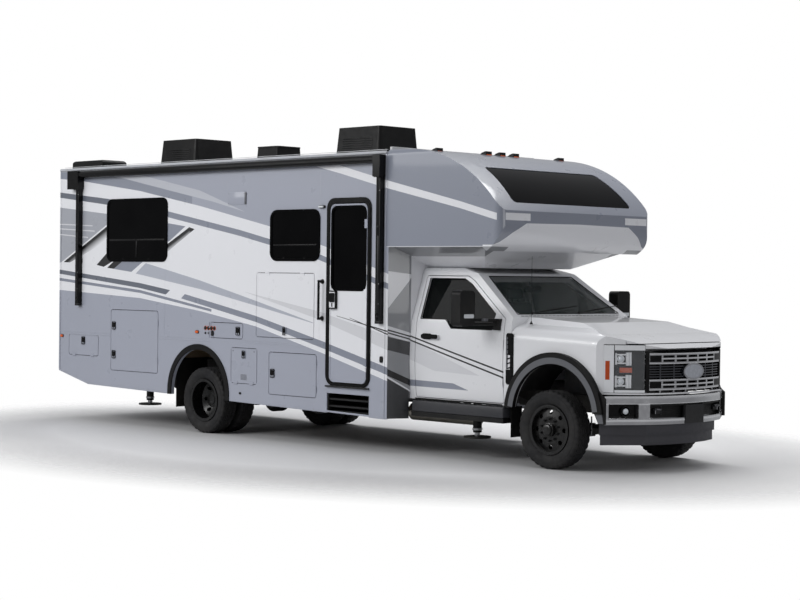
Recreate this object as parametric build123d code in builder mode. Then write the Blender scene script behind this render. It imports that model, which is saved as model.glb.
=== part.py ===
"""Motorhome: a coach body with an over-cab bunk on a two-axle cutaway truck chassis.

Axes: X forward, Y left, Z up. The origin is on the ground, midway between the rear bumper's
back face and the front bumper's nose, on the centre line. Sizes are in millimetres.
"""
from build123d import *
import math
import os

os.makedirs("parts", exist_ok=True)

# ------------------------------------------------------------------ driving dimensions
# stance
front_axle_x = 3720            # front axle ahead of the origin
wheelbase = 5440
tyre_od = 812                  # 225/70R19.5
tyre_width = 226
rim_flange_od = 520
rim_barrel_od = 478
rim_wall = 12
bead_gap = 0.6                 # between tyre bead and rim barrel
bead_inset = 27.6              # tyre bead inside the tyre's widest plane
disc_wall = 13
hand_holes = 8
hand_hole_r = 25
hand_hole_circle_r = 182
front_tyre_y = 945             # centre of a front tyre
rear_dual_y = 955              # centre of a rear pair
dual_spacing = 290             # between the two tyres of a pair
kingpin_y = 790
kingpin_r = 18
hub_r = 84
steer_gap = 0.4                # running gap at kingpins and spindles

# chassis
rail_y = 432                   # outer face of a rail
rail_height = 178
rail_flange = 70
rail_web = 8
rail_top_z = 860
front_rail_drop = 120          # how far the rails step down under the cab's front
rail_rear_x = -4620
rail_front_x = 4560
bearer_height = 40             # cross bearers between rail and coach floor
bearer_half = 690
leaf_width = 66
leaf_depth = 42

# coach body
body_half_width = 1270
body_rear_x = -4742
body_front_x = 1540            # where the side walls meet the front cap
wall = 50
floor_depth = 80
roof_edge_z = 3360
roof_crown = 30
roof_depth = 60
skirt_rear_z = 486             # lower edge of the skirt at its kink, behind the rear wheels
skirt_front_z = 381
skirt_kink_x = -4069
skirt_corner_z = 640           # lower edge at the rear corner
rear_wall_bottom_z = 800       # the rear wall ends above the bumper

# openings in the side walls: x from, x to, z from, z to, corner radius
bedroom_window = (-3643, -2408, 2130, 2892, 75)
dinette_window = (-386, 436, 2147, 2698, 85)
entry_opening = (622, 1268, 735, 2790, 90)
entry_glass = (668, 1228, 1803, 2736, 75)
step_depth_x = 24              # how far the step well stands inside the door's edges
step_top_z = 625
frame_bead = 14                # how far window and door frames stand proud

# hatches: name, side (-1 right, 1 left), x from, x to, z from, z to, hinged edge, box depth
hatches = [
    ("rear_storage_door_right", -1, -3571, -2560, 693, 1487, "front", 520),
    ("corner_hatch_right", -1, -4516, -3840, 860, 1140, "bottom", 300),
    ("power_hatch_right", -1, -1525, -897, 1181, 1376, "rear", 180),
    ("utility_hatch_right", -1, -1119, -630, 650, 1083, "bottom", 240),
    ("front_storage_door_right", -1, -422, 420, 550, 1055, "front", 520),
    ("galley_hatch_right", -1, -660, 370, 1220, 1987, "top", 380),
    ("rear_storage_door_left", 1, -3571, -2560, 693, 1487, "front", 520),
    ("front_storage_door_left", 1, -422, 420, 550, 1055, "front", 520),
]
hatch_thickness = 25
hatch_gap = 7
hatch_corner = 35
hinge_r = 7
hinge_gap = 0.3
leaf_length = 34
box_wall = 6
box_margin = 12                # how far a compartment stands outside its hatch's opening

# rear wheel arches
rear_arch_dx = -25             # arch centre behind the axle
rear_arch_z = 497
rear_arch_r = 540
rear_flare_width = 60
flare_proud = 14

# front cap
cap_wall = 40
cap_roof_x = 1935              # the roof turns down from here
cap_roof_z = 3345
cap_arc_x = 2640
cap_arc_z = 3158
cap_brow_x = 3228
cap_brow_z = 2665
cap_nose_z = 2520              # lower end of the upright nose
cap_lip_x = 3172
cap_lip_z = 2365
cap_chin_x = 3034
cap_chin_z = 2240
cap_side_z = 2281              # lower edge of the cap's sides over the cab doors
cap_edge_r = 70
cap_corner_r = 100
cap_window_top_x = 2665
cap_window_bottom_x = 3150
cap_window_top_half = 930
cap_window_bottom_half = 1000
wing_x = 1640                  # where the cap's rear wings meet the cab
wing_bottom_z = 390
fairing_top_half = 1225

# cab
cab_half_width = 1012
cab_belt_half = 985
cab_roof_half = 800
cab_sill_z = 612
cab_belt_z = 1480
cab_roof_z = 2062
cab_wall = 75
cab_back_x = 1560
cowl_x = 3150
cowl_z = 1545
header_x = 2500                # top edge of the windscreen
header_z = 2005
cab_door_rear_x = 1745
cab_door_front_x = 3056
cab_door_bottom_z = 630
cab_door_top_z = 1978
cab_door_gap = 8
door_glass_thickness = 6
cab_floor_z = 882
cab_floor_plate = 18

# nose of the truck
fender_half_width = 1005
fender_shoulder_z = 1315
fender_crown_z = 1480
fender_fall = 0.035            # drop of the fender line for each millimetre forward
fender_skin = 30
nose_x = 4762
nose_bow_back = 118            # where the bowed front turns into the corner
nose_bow_in = 355
nose_side_back = 462           # where the corner has turned into the side
hood_rear_z = 1548
hood_mid_x = 3900
hood_mid_z = 1505
hood_fore_x = 4300
hood_fore_z = 1400
hood_lip_z = 1245
hood_corner_z = 1310
hood_gap = 8
front_arch_dx = 45
front_arch_z = 545
front_arch_r = 545
front_flare_width = 112
front_flare_proud = 48
front_leg_x = 4440             # front edge of the arch trim's leg, beside the bumper's end
front_leg_proud = 25
lamp_top_z = 1306
lamp_bottom_z = 815
lamp_inner_y = 640
lamp_window_top_z = 1245
lamp_window_bottom_z = 848
lamp_window_y = 885
grille_top_z = 1256
grille_bottom_z = 815
grille_bar_height = 110
grille_upper_z = 1162          # middles of the two slotted bars
grille_lower_z = 898
grille_slot_pitch_y = 178.5
grille_slot_width = 150
grille_slot_height = 25
grille_slot_pitch_z = 43
grille_post_depth = 62
emblem_z = 1027
emblem_half_width = 172
emblem_half_height = 87
bumper_top_z = 785
bumper_bottom_z = 498
bumper_nose_x = 4790
bumper_pocket_top_z = 706
bumper_pocket_bottom_z = 560
bumper_pocket_depth = 62
air_dam_bottom_z = 285
air_dam_step_z = 388

# fittings
awning_r = 48
awning_z = 3252
awning_rear_x = -4440
awning_arm_width = 70
awning_arm_depth = 50
awning_arm_rear_x = -4260
awning_arm_front_x = 1470
awning_arm_rear_z = 1540
awning_arm_front_z = 1455
ac_length = 800
ac_width = 680
ac_top_z = 3742
ac_places = (-3414, 60)
mirror_half_span = 1432        # outermost face of a mirror
mirror_x = 2755
mirror_z = 1632
mirror_width = 230
mirror_depth = 130
mirror_height = 376
jack_places = ((-3600, 600), (2445, 735))      # x, y from the centre line
jack_foot_z = 215
jack_foot_r = 150
steer_wheel_x = 2610
steer_wheel_y = 420
steer_wheel_z = 1400
steer_wheel_r = 195
steer_wheel_tilt = 28
seat_x = 2080
seat_y = 430
rear_bumper_x = -4790
receiver_size = 64
receiver_bore = 51
hitch_pin_r = 8.2
receiver_drop = 75              # middle of the receiver below the rails
plate_hole_r = 3.5
plate_spacing_y = 178
plate_spacing_z = 76

# ------------------------------------------------------------------ derived places
rear_axle_x = front_axle_x - wheelbase
axle_z = tyre_od / 2
rail_bottom_z = rail_top_z - rail_height
receiver_z = rail_bottom_z - receiver_drop
front_rail_bottom_z = rail_bottom_z - front_rail_drop
floor_bottom_z = rail_top_z + bearer_height
floor_top_z = floor_bottom_z + floor_depth
wall_inner_y = body_half_width - wall
roof_bottom_z = roof_edge_z - roof_depth
rear_arch_x = rear_axle_x + rear_arch_dx
front_arch_x = front_axle_x + front_arch_dx
skirt_slope = (skirt_front_z - skirt_rear_z) / (body_front_x - skirt_kink_x)
cap_start_x = body_front_x + hinge_gap
SIDES = ((-1, "right"), (1, "left"))


# ------------------------------------------------------------------ small makers
def xz_at(y):
    """The plane across the vehicle at y, with local axes X and Z."""
    return Plane.XZ.offset(-y)


def block(x0, x1, y0, y1, z0, z1):
    """A box between two corners."""
    with BuildPart(mode=Mode.PRIVATE) as piece:
        with Locations(((x0 + x1) / 2, (y0 + y1) / 2, (z0 + z1) / 2)):
            Box(abs(x1 - x0), abs(y1 - y0), abs(z1 - z0))
    return piece.part


def side_prism(points, y0, y1, corner=0.0, shrink=0.0):
    """A prism from an outline of (x, z) points, between two places across the vehicle."""
    with BuildPart(mode=Mode.PRIVATE) as piece:
        with BuildSketch(xz_at(max(y0, y1))) as outline:
            with BuildLine():
                Polyline(*points, close=True)
            make_face()
            if corner:
                fillet(outline.vertices(), corner)
            if shrink:
                offset(amount=-shrink)
        extrude(amount=abs(y1 - y0))
    return piece.part


def side_window(size, y0, y1, grow=0.0):
    """A rounded rectangular prism through a side wall: x from, x to, z from, z to, radius."""
    x0, x1, z0, z1, radius = size
    points = [(x0 - grow, z0 - grow), (x1 + grow, z0 - grow), (x1 + grow, z1 + grow), (x0 - grow, z1 + grow)]
    return side_prism(points, y0, y1, corner=radius + grow)


def side_ring(size, y0, y1, width):
    """A frame of the given width round a rounded rectangle in a side wall."""
    with BuildPart(mode=Mode.PRIVATE) as piece:
        add(side_window(size, y0, y1, grow=width))
        add(side_window(size, min(y0, y1) - 1, max(y0, y1) + 1), mode=Mode.SUBTRACT)
    return piece.part


def cross_prism(points, x0, x1, corner=0.0):
    """A prism from an outline of (y, z) points, between two places along the vehicle."""
    with BuildPart(mode=Mode.PRIVATE) as piece:
        with BuildSketch(Plane.YZ.offset(min(x0, x1))) as outline:
            with BuildLine():
                Polyline(*points, close=True)
            make_face()
            if corner:
                fillet(outline.vertices(), corner)
        extrude(amount=abs(x1 - x0))
    return piece.part


def drum(x, y0, y1, z, radius, hole=0.0):
    """A cylinder lying across the vehicle, with an optional bore."""
    with BuildPart(mode=Mode.PRIVATE) as piece:
        with BuildSketch(xz_at(max(y0, y1))):
            with Locations((x, z)):
                Circle(radius)
                if hole:
                    Circle(hole, mode=Mode.SUBTRACT)
        extrude(amount=abs(y1 - y0))
    return piece.part


def post(x, y, z0, z1, radius):
    """An upright cylinder."""
    with BuildPart(mode=Mode.PRIVATE) as piece:
        with BuildSketch(Plane.XY.offset(min(z0, z1))):
            with Locations((x, y)):
                Circle(radius)
        extrude(amount=abs(z1 - z0))
    return piece.part


def rod(start, end, radius):
    """A round bar between two points."""
    with BuildPart(mode=Mode.PRIVATE) as piece:
        run = Vector(*end) - Vector(*start)
        with BuildSketch(Plane(origin=start, z_dir=run)):
            Circle(radius)
        extrude(amount=run.length)
    return piece.part


def joined(*pieces):
    """Several pieces as one."""
    with BuildPart(mode=Mode.PRIVATE) as whole:
        for piece in pieces:
            add(piece)
    return whole.part


def cut(piece, *tools):
    """A piece with others taken out of it."""
    with BuildPart(mode=Mode.PRIVATE) as whole:
        add(piece)
        for tool in tools:
            add(tool, mode=Mode.SUBTRACT)
    return whole.part


def common(piece, other):
    """What two pieces share."""
    with BuildPart(mode=Mode.PRIVATE) as whole:
        add(piece)
        add(other, mode=Mode.INTERSECT)
    return whole.part


def rounded(piece, radius, choose):
    """A piece with the edges that `choose` picks out of it rounded."""
    with BuildPart(mode=Mode.PRIVATE) as whole:
        add(piece)
        fillet(choose(whole.part), radius)
    return whole.part


def across(piece, side):
    """A piece made on the left side, put on the given side."""
    if side > 0:
        return piece
    with BuildPart(mode=Mode.PRIVATE) as whole:
        add(piece)
        mirror(about=Plane.XZ, mode=Mode.REPLACE)
    return whole.part


def save(piece, name):
    """Labels a finished piece and writes it."""
    piece.label = name
    export_step(piece, f"parts/{name}.step")


# ------------------------------------------------------------------ chassis
def rail_outline(flange=0.0, past=0.0):
    """Side outline of a frame rail, stepping down under the cab, or of the channel inside it."""
    step_back, step_front = 2750, 3150
    low, high = rail_bottom_z + flange, rail_top_z - flange
    return [
        (rail_rear_x - past, low), (step_back, low), (step_front, low - front_rail_drop),
        (rail_front_x + past, low - front_rail_drop), (rail_front_x + past, high - front_rail_drop),
        (step_front, high - front_rail_drop), (step_back, high), (rail_rear_x - past, high),
    ]


cross_members = (-4560, -3500, -2420, -900, 300, 1500, 2350)
bearers = (-4450, -3680, -2900, -2480, -900, -480, 470, 1450)

with BuildPart() as frame_rails:
    for side, _ in SIDES:
        rail = side_prism(rail_outline(), side * rail_y, side * (rail_y - rail_flange))
        pocket = side_prism(rail_outline(rail_web, past=1), side * (rail_y - rail_web),
                            side * (rail_y - rail_flange - 1))
        add(cut(rail, pocket))
    for x in cross_members:
        inner = rail_y - rail_web
        add(block(x - 35, x + 35, -inner, inner, rail_bottom_z + 40, rail_top_z - 10))
    add(block(rail_front_x - 60, rail_front_x, -rail_y, rail_y, front_rail_bottom_z,
              front_rail_bottom_z + rail_height))
    for x in bearers:
        add(block(x - 25, x + 25, -bearer_half, bearer_half, rail_top_z, floor_bottom_z))
    # hitch receiver on a cross tube, hung from the rails by two plates
    receiver_front_x = rail_rear_x + 260
    add(block(rail_rear_x, rail_rear_x + 60, -rail_y, rail_y, receiver_z - 30, receiver_z + 30))
    for side, _ in SIDES:
        add(block(rail_rear_x, rail_rear_x + 160, side * rail_y, side * (rail_y - rail_web), receiver_z - 30,
                  rail_bottom_z + 60))
    add(block(rail_rear_x - 90, receiver_front_x, -receiver_size / 2, receiver_size / 2,
              receiver_z - receiver_size / 2, receiver_z + receiver_size / 2))
    add(block(rail_rear_x - 91, receiver_front_x + 1, -receiver_bore / 2, receiver_bore / 2,
              receiver_z - receiver_bore / 2, receiver_z + receiver_bore / 2), mode=Mode.SUBTRACT)
    add(drum(rail_rear_x - 50, -receiver_size, receiver_size, receiver_z, hitch_pin_r), mode=Mode.SUBTRACT)
    # rear bumper bar on the ends of the rails
    add(block(rear_bumper_x, rear_bumper_x + 40, -1180, 1180, 690, 790))
    for side, _ in SIDES:
        add(block(rear_bumper_x + 39, rail_rear_x + 60, side * rail_y, side * (rail_y - 60), 700, 780))
save(frame_rails.part, "frame_rails")


def leaf_spring(x, mid_z, end_z, span, side):
    """One pack of leaves under a rail, with its shackle blocks up to the rail."""
    half = span / 2
    y_out, y_in = side * rail_y, side * (rail_y - leaf_width)
    with BuildPart(mode=Mode.PRIVATE) as pack:
        with BuildSketch(xz_at(max(y_out, y_in))):
            with BuildLine():
                low = ThreePointArc((x - half, end_z), (x, mid_z), (x + half, end_z))
                high = ThreePointArc((x - half, end_z + leaf_depth), (x, mid_z + leaf_depth),
                                     (x + half, end_z + leaf_depth))
                Line(low @ 0, high @ 0)
                Line(low @ 1, high @ 1)
            make_face()
        extrude(amount=leaf_width)
    return pack.part


def hangers(x, end_z, span, rail_z, side):
    """The two blocks that carry a leaf pack's ends under the rail."""
    y0, y1 = side * (rail_y - leaf_width), side * rail_y
    half = span / 2
    return [block(x + way * half - 30, x + way * half + 30, y0, y1, end_z + 10, rail_z - hinge_gap)
            for way in (-1, 1)]


front_spring_span = 1180
rear_spring_span = 1420
rear_tube_r = 66
spindle_r = 38

with BuildPart() as front_axle:
    beam = [(-kingpin_y, axle_z - 45), (-kingpin_y, axle_z + 45), (-kingpin_y + 90, axle_z + 30),
            (-560, axle_z - 5), (560, axle_z - 5), (kingpin_y - 90, axle_z + 30),
            (kingpin_y, axle_z + 45), (kingpin_y, axle_z - 45), (560, axle_z - 85), (-560, axle_z - 85)]
    add(cross_prism(beam, front_axle_x - 38, front_axle_x + 38))
    for side, _ in SIDES:
        add(post(front_axle_x, side * kingpin_y, axle_z - 62, axle_z + 62, 46))
        mid_z = axle_z - 12
        end_z = front_rail_bottom_z - 75
        add(leaf_spring(front_axle_x, mid_z, end_z, front_spring_span, side))
        for piece in hangers(front_axle_x, end_z, front_spring_span, front_rail_bottom_z, side):
            add(piece)
        add(block(front_axle_x - 70, front_axle_x + 70, side * (rail_y - leaf_width), side * rail_y,
                  axle_z - 95, axle_z + leaf_depth))
    for side, _ in SIDES:
        add(post(front_axle_x, side * kingpin_y, axle_z - 70, axle_z + 70, kingpin_r + steer_gap),
            mode=Mode.SUBTRACT)
save(front_axle.part, "front_axle")

with BuildPart() as rear_axle:
    add(drum(rear_axle_x, -690, 690, axle_z, rear_tube_r))
    add(drum(rear_axle_x, -rear_dual_y - 18, rear_dual_y + 18, axle_z, spindle_r))
    with BuildSketch(Plane.XZ.offset(0)):
        with Locations((rear_axle_x, axle_z)):
            Circle(190)
    extrude(amount=110, both=True)
    chamfer(faces().filter_by(Axis.Y).group_by(SortBy.AREA)[-1].edges().filter_by(GeomType.CIRCLE), 40)
    add(rod((rear_axle_x + 150, 0, axle_z), (rear_axle_x + 330, 0, axle_z + 12), 75))
    for side, _ in SIDES:
        mid_z = axle_z + rear_tube_r - 8
        end_z = rail_bottom_z - 90
        add(leaf_spring(rear_axle_x, mid_z, end_z, rear_spring_span, side))
        for piece in hangers(rear_axle_x, end_z, rear_spring_span, rail_bottom_z, side):
            add(piece)
        add(block(rear_axle_x - 90, rear_axle_x + 90, side * (rail_y - leaf_width), side * rail_y,
                  axle_z - 90, axle_z + rear_tube_r + leaf_depth))
save(rear_axle.part, "rear_axle")

engine_rear_x = 3330
gearbox_rear_x = 2560
pinion_x = rear_axle_x + 330 + 12
with BuildPart() as powertrain:
    engine_outline = [(-330, 640), (-330, 1010), (-230, 1160), (230, 1160), (330, 1010), (330, 640)]
    add(cross_prism(engine_outline, engine_rear_x, engine_rear_x + 840))
    add(cross_prism([(-120, 620), (-120, 660), (120, 660), (120, 620)], engine_rear_x + 300,
                    engine_rear_x + 800))
    gearbox = [(-180, 560), (-180, 790), (-110, 850), (110, 850), (180, 790), (180, 560)]
    add(cross_prism(gearbox, gearbox_rear_x, engine_rear_x + 1))
    add(rod((gearbox_rear_x + 20, 0, 610), (pinion_x, 0, axle_z + 14), 45))
    for side, _ in SIDES:
        add(block(engine_rear_x + 380, engine_rear_x + 460, side * 300, side * (rail_y - rail_web - hinge_gap),
                  642, 700))
save(powertrain.part, "powertrain")

with BuildPart() as under_tanks:
    for x0, x1, y0, y1, z0, z1 in (
        (-3420, -2520, -350, 350, 430, rail_bottom_z + 40 - hinge_gap),
        (-4340, -3640, -350, 350, 520, rail_bottom_z + 40 - hinge_gap),
        (620, 1440, 480, 1130, 560, rail_top_z - hinge_gap),
    ):
        add(block(x0, x1, y0, y1, z0, z1))
    fillet(under_tanks.edges().filter_by(Axis.X), 45)
    # hanger straps up to the lower flanges of the rails
    for x in (-3300, -2640, -4220, -3760):
        add(block(x - 25, x + 25, -rail_y + 12, rail_y - 12, rail_bottom_z - 24, rail_bottom_z - hinge_gap))
save(under_tanks.part, "under_tanks")

exhaust_y = -560
pipe_r = 36
front_pipe = ((2900, 470), (2290, 430))
rear_pipe = ((1310, 430), (400, 400), (-950, 400), (-1300, 590), (-2700, 560))
with BuildPart() as exhaust:
    add(rod((1300, exhaust_y, 430), (2300, exhaust_y, 430), 100))
    for run in (front_pipe, rear_pipe):
        with BuildLine() as path:
            Polyline(*[(x, exhaust_y, z) for x, z in run])
        with BuildSketch(Plane(origin=path.line @ 0, z_dir=path.line % 0)):
            Circle(pipe_r)
        sweep(path=path.line, transition=Transition.RIGHT)
    for x, z in ((-2640, 560), (-880, 400), (1340, 430)):
        add(block(x - 15, x + 15, exhaust_y, -rail_y - hinge_gap, z, z + 20))
        add(block(x - 15, x + 15, -rail_y - 40, -rail_y - hinge_gap, z, rail_bottom_z + 60))
save(exhaust.part, "exhaust")

with BuildPart() as levelling_jacks:
    for x, out in jack_places:
        for side, _ in SIDES:
            y = side * out
            add(post(x, y, jack_foot_z + 60, rail_top_z - hinge_gap, 48))
            add(post(x, y, jack_foot_z + 18, jack_foot_z + 61, 30))
            add(post(x, y, jack_foot_z, jack_foot_z + 20, jack_foot_r))
            add(block(x - 60, x + 60, y, side * (rail_y + hinge_gap), rail_bottom_z + 30, rail_top_z - 20))
save(levelling_jacks.part, "levelling_jacks")


# ------------------------------------------------------------------ wheels and steering
def tyre(y):
    """A tyre whose middle plane is at y, from a half section with round shoulders."""
    half, tread_r, bead_r = tyre_width / 2, tyre_od / 2, rim_barrel_od / 2 + bead_gap
    seat, wall_r = half - bead_inset, rim_flange_od / 2 + 3
    with BuildPart(mode=Mode.PRIVATE) as ring:
        with BuildSketch(Plane.XY):
            with BuildLine():
                Polyline((wall_r, -seat), (bead_r, -seat), (bead_r, seat), (wall_r, seat))
                ThreePointArc((wall_r, seat), (tread_r - 78, half), (tread_r - 12, half - 22))
                Polyline((tread_r - 12, half - 22), (tread_r, half - 40), (tread_r, 40 - half),
                         (tread_r - 12, 22 - half))
                ThreePointArc((tread_r - 12, 22 - half), (tread_r - 78, -half), (wall_r, -seat))
            make_face()
        revolve(axis=Axis.Y)
    return ring.part.moved(Location((0, y, axle_z)))


def rim_body(y_mid, side, dish):
    """A rim whose disc is coned out to `dish` outboard of the tyre's middle plane, on its axle's centre."""
    half = tyre_width / 2
    barrel_r, flange_r = rim_barrel_od / 2, rim_flange_od / 2
    root_r = barrel_r - rim_wall
    way = 1 if dish > 0 else -1
    root = way * min(abs(dish) - 18, half - 42)
    with BuildPart(mode=Mode.PRIVATE) as rim:
        with BuildSketch(Plane.XY):
            with BuildLine():
                Polyline((root_r, -half + 14), (flange_r, -half + 14), (flange_r, -half + 24),
                         (barrel_r, -half + 27), (barrel_r, half - 27), (flange_r, half - 24),
                         (flange_r, half - 14), (root_r, half - 14), close=True)
            make_face()
        revolve(axis=Axis.Y)
        with BuildSketch(Plane.XY):
            with BuildLine():
                Polyline((0, dish), (138, dish), (root_r + 1, root), (root_r + 1, root - way * disc_wall),
                         (132, dish - way * disc_wall), (0, dish - way * disc_wall), close=True)
            make_face()
        revolve(axis=Axis.Y)
        with BuildSketch(xz_at(half * 2)):
            with PolarLocations(hand_hole_circle_r, hand_holes):
                Circle(hand_hole_r)
        extrude(amount=half * 4, mode=Mode.SUBTRACT)
    return across(rim.part.moved(Location((0, y_mid, axle_z))), side)


front_dish = 72
hub_face_y = front_tyre_y + front_dish
for side, word in SIDES:
    with BuildPart() as front_tyre:
        add(tyre(side * front_tyre_y).moved(Location((front_axle_x, 0, 0))))
    save(front_tyre.part, f"front_tyre_{word}")

    hub_inner_y = kingpin_y + 78
    with BuildPart() as front_rim:
        add(rim_body(front_tyre_y, side, front_dish).moved(Location((front_axle_x, 0, 0))))
        add(drum(front_axle_x, side * hub_inner_y, side * hub_face_y, axle_z, hub_r))
        add(drum(front_axle_x, side * hub_face_y, side * (hub_face_y + 34), axle_z, hub_r - 14))
        add(drum(front_axle_x, side * hub_inner_y, side * (hub_inner_y + 32), axle_z, 190))
        add(drum(front_axle_x, side * (hub_inner_y - 1), side * (hub_face_y - 20), axle_z,
                 spindle_r + steer_gap), mode=Mode.SUBTRACT)
    save(front_rim.part, f"front_rim_{word}")

    knuckle_web_y = kingpin_y + 50
    with BuildPart() as knuckle:
        for low, high in ((axle_z - 110, axle_z - 62.4), (axle_z + 62.4, axle_z + 110)):
            add(post(front_axle_x, side * kingpin_y, low, high, 44))
            add(block(front_axle_x - 40, front_axle_x + 40, side * kingpin_y, side * (knuckle_web_y + 22),
                      low, high))
        add(post(front_axle_x, side * kingpin_y, axle_z - 100, axle_z + 100, kingpin_r))
        add(block(front_axle_x - 40, front_axle_x + 40, side * knuckle_web_y, side * (knuckle_web_y + 22),
                  axle_z - 100, axle_z + 100))
        add(drum(front_axle_x, side * knuckle_web_y, side * (hub_face_y - 21), axle_z, spindle_r))
        # steering arm, reaching back behind the beam
        add(block(front_axle_x - 190, front_axle_x - 30, side * (kingpin_y - 60), side * (kingpin_y - 20),
                  axle_z - 105, axle_z - 75))
        add(block(front_axle_x - 40, front_axle_x + 10, side * (kingpin_y - 60), side * kingpin_y,
                  axle_z - 105, axle_z - 75))
    save(knuckle.part, f"knuckle_{word}")

    duals = (rear_dual_y - dual_spacing / 2, rear_dual_y + dual_spacing / 2)
    with BuildPart() as rear_tyres:
        for y in duals:
            add(tyre(side * y).moved(Location((rear_axle_x, 0, 0))))
    save(rear_tyres.part, f"rear_tyres_{word}")

    with BuildPart() as rear_rims:
        add(rim_body(duals[0], side, dual_spacing / 2).moved(Location((rear_axle_x, 0, 0))))
        add(rim_body(duals[1], side, -dual_spacing / 2).moved(Location((rear_axle_x, 0, 0))))
        add(drum(rear_axle_x, side * (rear_dual_y - 200), side * (rear_dual_y + 105), axle_z, hub_r + 14))
        add(drum(rear_axle_x, side * (rear_dual_y - 201), side * (rear_dual_y + 20), axle_z,
                 spindle_r + steer_gap), mode=Mode.SUBTRACT)
    save(rear_rims.part, f"rear_rims_{word}")


# ------------------------------------------------------------------ coach body
skirt_outline = [
    (body_rear_x, skirt_corner_z), (skirt_kink_x, skirt_rear_z), (body_front_x, skirt_front_z),
    (body_front_x, roof_bottom_z), (body_rear_x, roof_bottom_z),
]


def skirt_z(x):
    """Height of the skirt's lower edge at x."""
    return skirt_rear_z + skirt_slope * (x - skirt_kink_x)


def arch_cut(x, z, radius, y0, y1):
    """A wheel arch: a round top with straight legs down past the skirt."""
    return joined(drum(x, y0, y1, z, radius), block(x - radius, x + radius, y0, y1, 100, z))


def hatch_size(row):
    """The opening of a hatch, as a rounded window size."""
    return (row[2], row[3], row[4], row[5], hatch_corner)


def coach_wall(side):
    """A side wall with its windows, door and hatches cut."""
    y_out, y_in = side * body_half_width, side * wall_inner_y
    far_out, far_in = side * (body_half_width + 5), side * (wall_inner_y - 5)
    tools = [side_window(bedroom_window, far_out, far_in), side_window(dinette_window, far_out, far_in),
             arch_cut(rear_arch_x, rear_arch_z, rear_arch_r, far_out, far_in)]
    tools += [side_window(hatch_size(row), far_out, far_in) for row in hatches if row[1] == side]
    if side < 0:
        tools.append(side_window(entry_opening, far_out, far_in))
        x0, x1 = entry_opening[0], entry_opening[1]
        tools.append(block(x0 - step_depth_x, x1 + step_depth_x, far_out, far_in, 100, step_top_z))
    return cut(side_prism(skirt_outline, y_out, y_in), *tools)


def box_form(row, grow):
    """The outer form of the compartment behind a hatch."""
    _, side, x0, x1, z0, z1, _, depth = row
    margin = box_margin + grow
    return block(x0 - margin, x1 + margin, side * (wall_inner_y - hinge_gap + 2 * grow),
                 side * (wall_inner_y - depth - grow), z0 - margin, z1 + margin)


for side, word in SIDES:
    with BuildPart() as side_wall:
        add(coach_wall(side))
        if side < 0:
            # vent panel high on the wall and the porch lamp's base
            add(block(-1225, -887, -body_half_width - 4, -body_half_width, 2800, 2956))
    save(side_wall.part, f"{word}_wall")

with BuildPart() as rear_wall:
    add(block(body_rear_x, body_rear_x + wall, -wall_inner_y + hinge_gap, wall_inner_y - hinge_gap,
              rear_wall_bottom_z, roof_bottom_z - hinge_gap))
save(rear_wall.part, "rear_wall")

with BuildPart() as coach_roof:
    with BuildSketch(Plane.YZ.offset(body_rear_x)):
        with BuildLine():
            Polyline((-body_half_width, roof_edge_z - 25), (-body_half_width, roof_bottom_z + hinge_gap),
                     (body_half_width, roof_bottom_z + hinge_gap), (body_half_width, roof_edge_z - 25))
            ThreePointArc((body_half_width, roof_edge_z - 25), (0, roof_edge_z + roof_crown),
                          (-body_half_width, roof_edge_z - 25))
        make_face()
    extrude(amount=body_front_x - body_rear_x)
save(coach_roof.part, "coach_roof")

well_half = rear_arch_r + 20
well_inner_y = 640
with BuildPart() as coach_floor:
    add(block(body_rear_x + wall + hinge_gap, body_front_x, -wall_inner_y + hinge_gap,
              wall_inner_y - hinge_gap, floor_bottom_z, floor_top_z))
    add(block(body_front_x - 40, body_front_x, -cab_half_width + 80, cab_half_width - 80, rail_top_z + hinge_gap,
              floor_bottom_z))
    # entry well cut down beside the door
    x0, x1 = entry_opening[0], entry_opening[1]
    well_in_y = -wall_inner_y + 520
    add(block(x0 - 40, x1 + 40, -wall_inner_y, well_in_y, step_top_z + 40, floor_bottom_z + 1))
    add(block(x0, x1, -wall_inner_y - 1, well_in_y - 30, entry_opening[2] - 35, floor_top_z + 1),
        mode=Mode.SUBTRACT)
    add(block(x0, x1, -wall_inner_y - 1, -wall_inner_y + 240, step_top_z + 40, entry_opening[2]),
        mode=Mode.SUBTRACT)
    for side, _ in SIDES:
        # wheel wells raised over the rear pairs
        y_in, y_out = side * well_inner_y, side * (wall_inner_y - hinge_gap)
        add(block(rear_arch_x - well_half, rear_arch_x + well_half, y_in, y_out, floor_bottom_z,
                  rear_arch_z + rear_arch_r + 20))
        add(block(rear_arch_x - well_half + 20, rear_arch_x + well_half - 20, side * (well_inner_y + 20),
                  side * (wall_inner_y + 1), floor_bottom_z - 1, rear_arch_z + rear_arch_r), mode=Mode.SUBTRACT)
    for row in hatches:
        add(box_form(row, hinge_gap), mode=Mode.SUBTRACT)
save(coach_floor.part, "coach_floor")


def hatch_axis(row):
    """A point on a hatch's hinge line and the line's direction."""
    _, side, x0, x1, z0, z1, edge, _ = row
    y = side * (body_half_width + hinge_r + hinge_gap)
    if edge in ("front", "rear"):
        return (x1 if edge == "front" else x0, y, (z0 + z1) / 2), "Z"
    return ((x0 + x1) / 2, y, z1 if edge == "top" else z0), "X"


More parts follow.
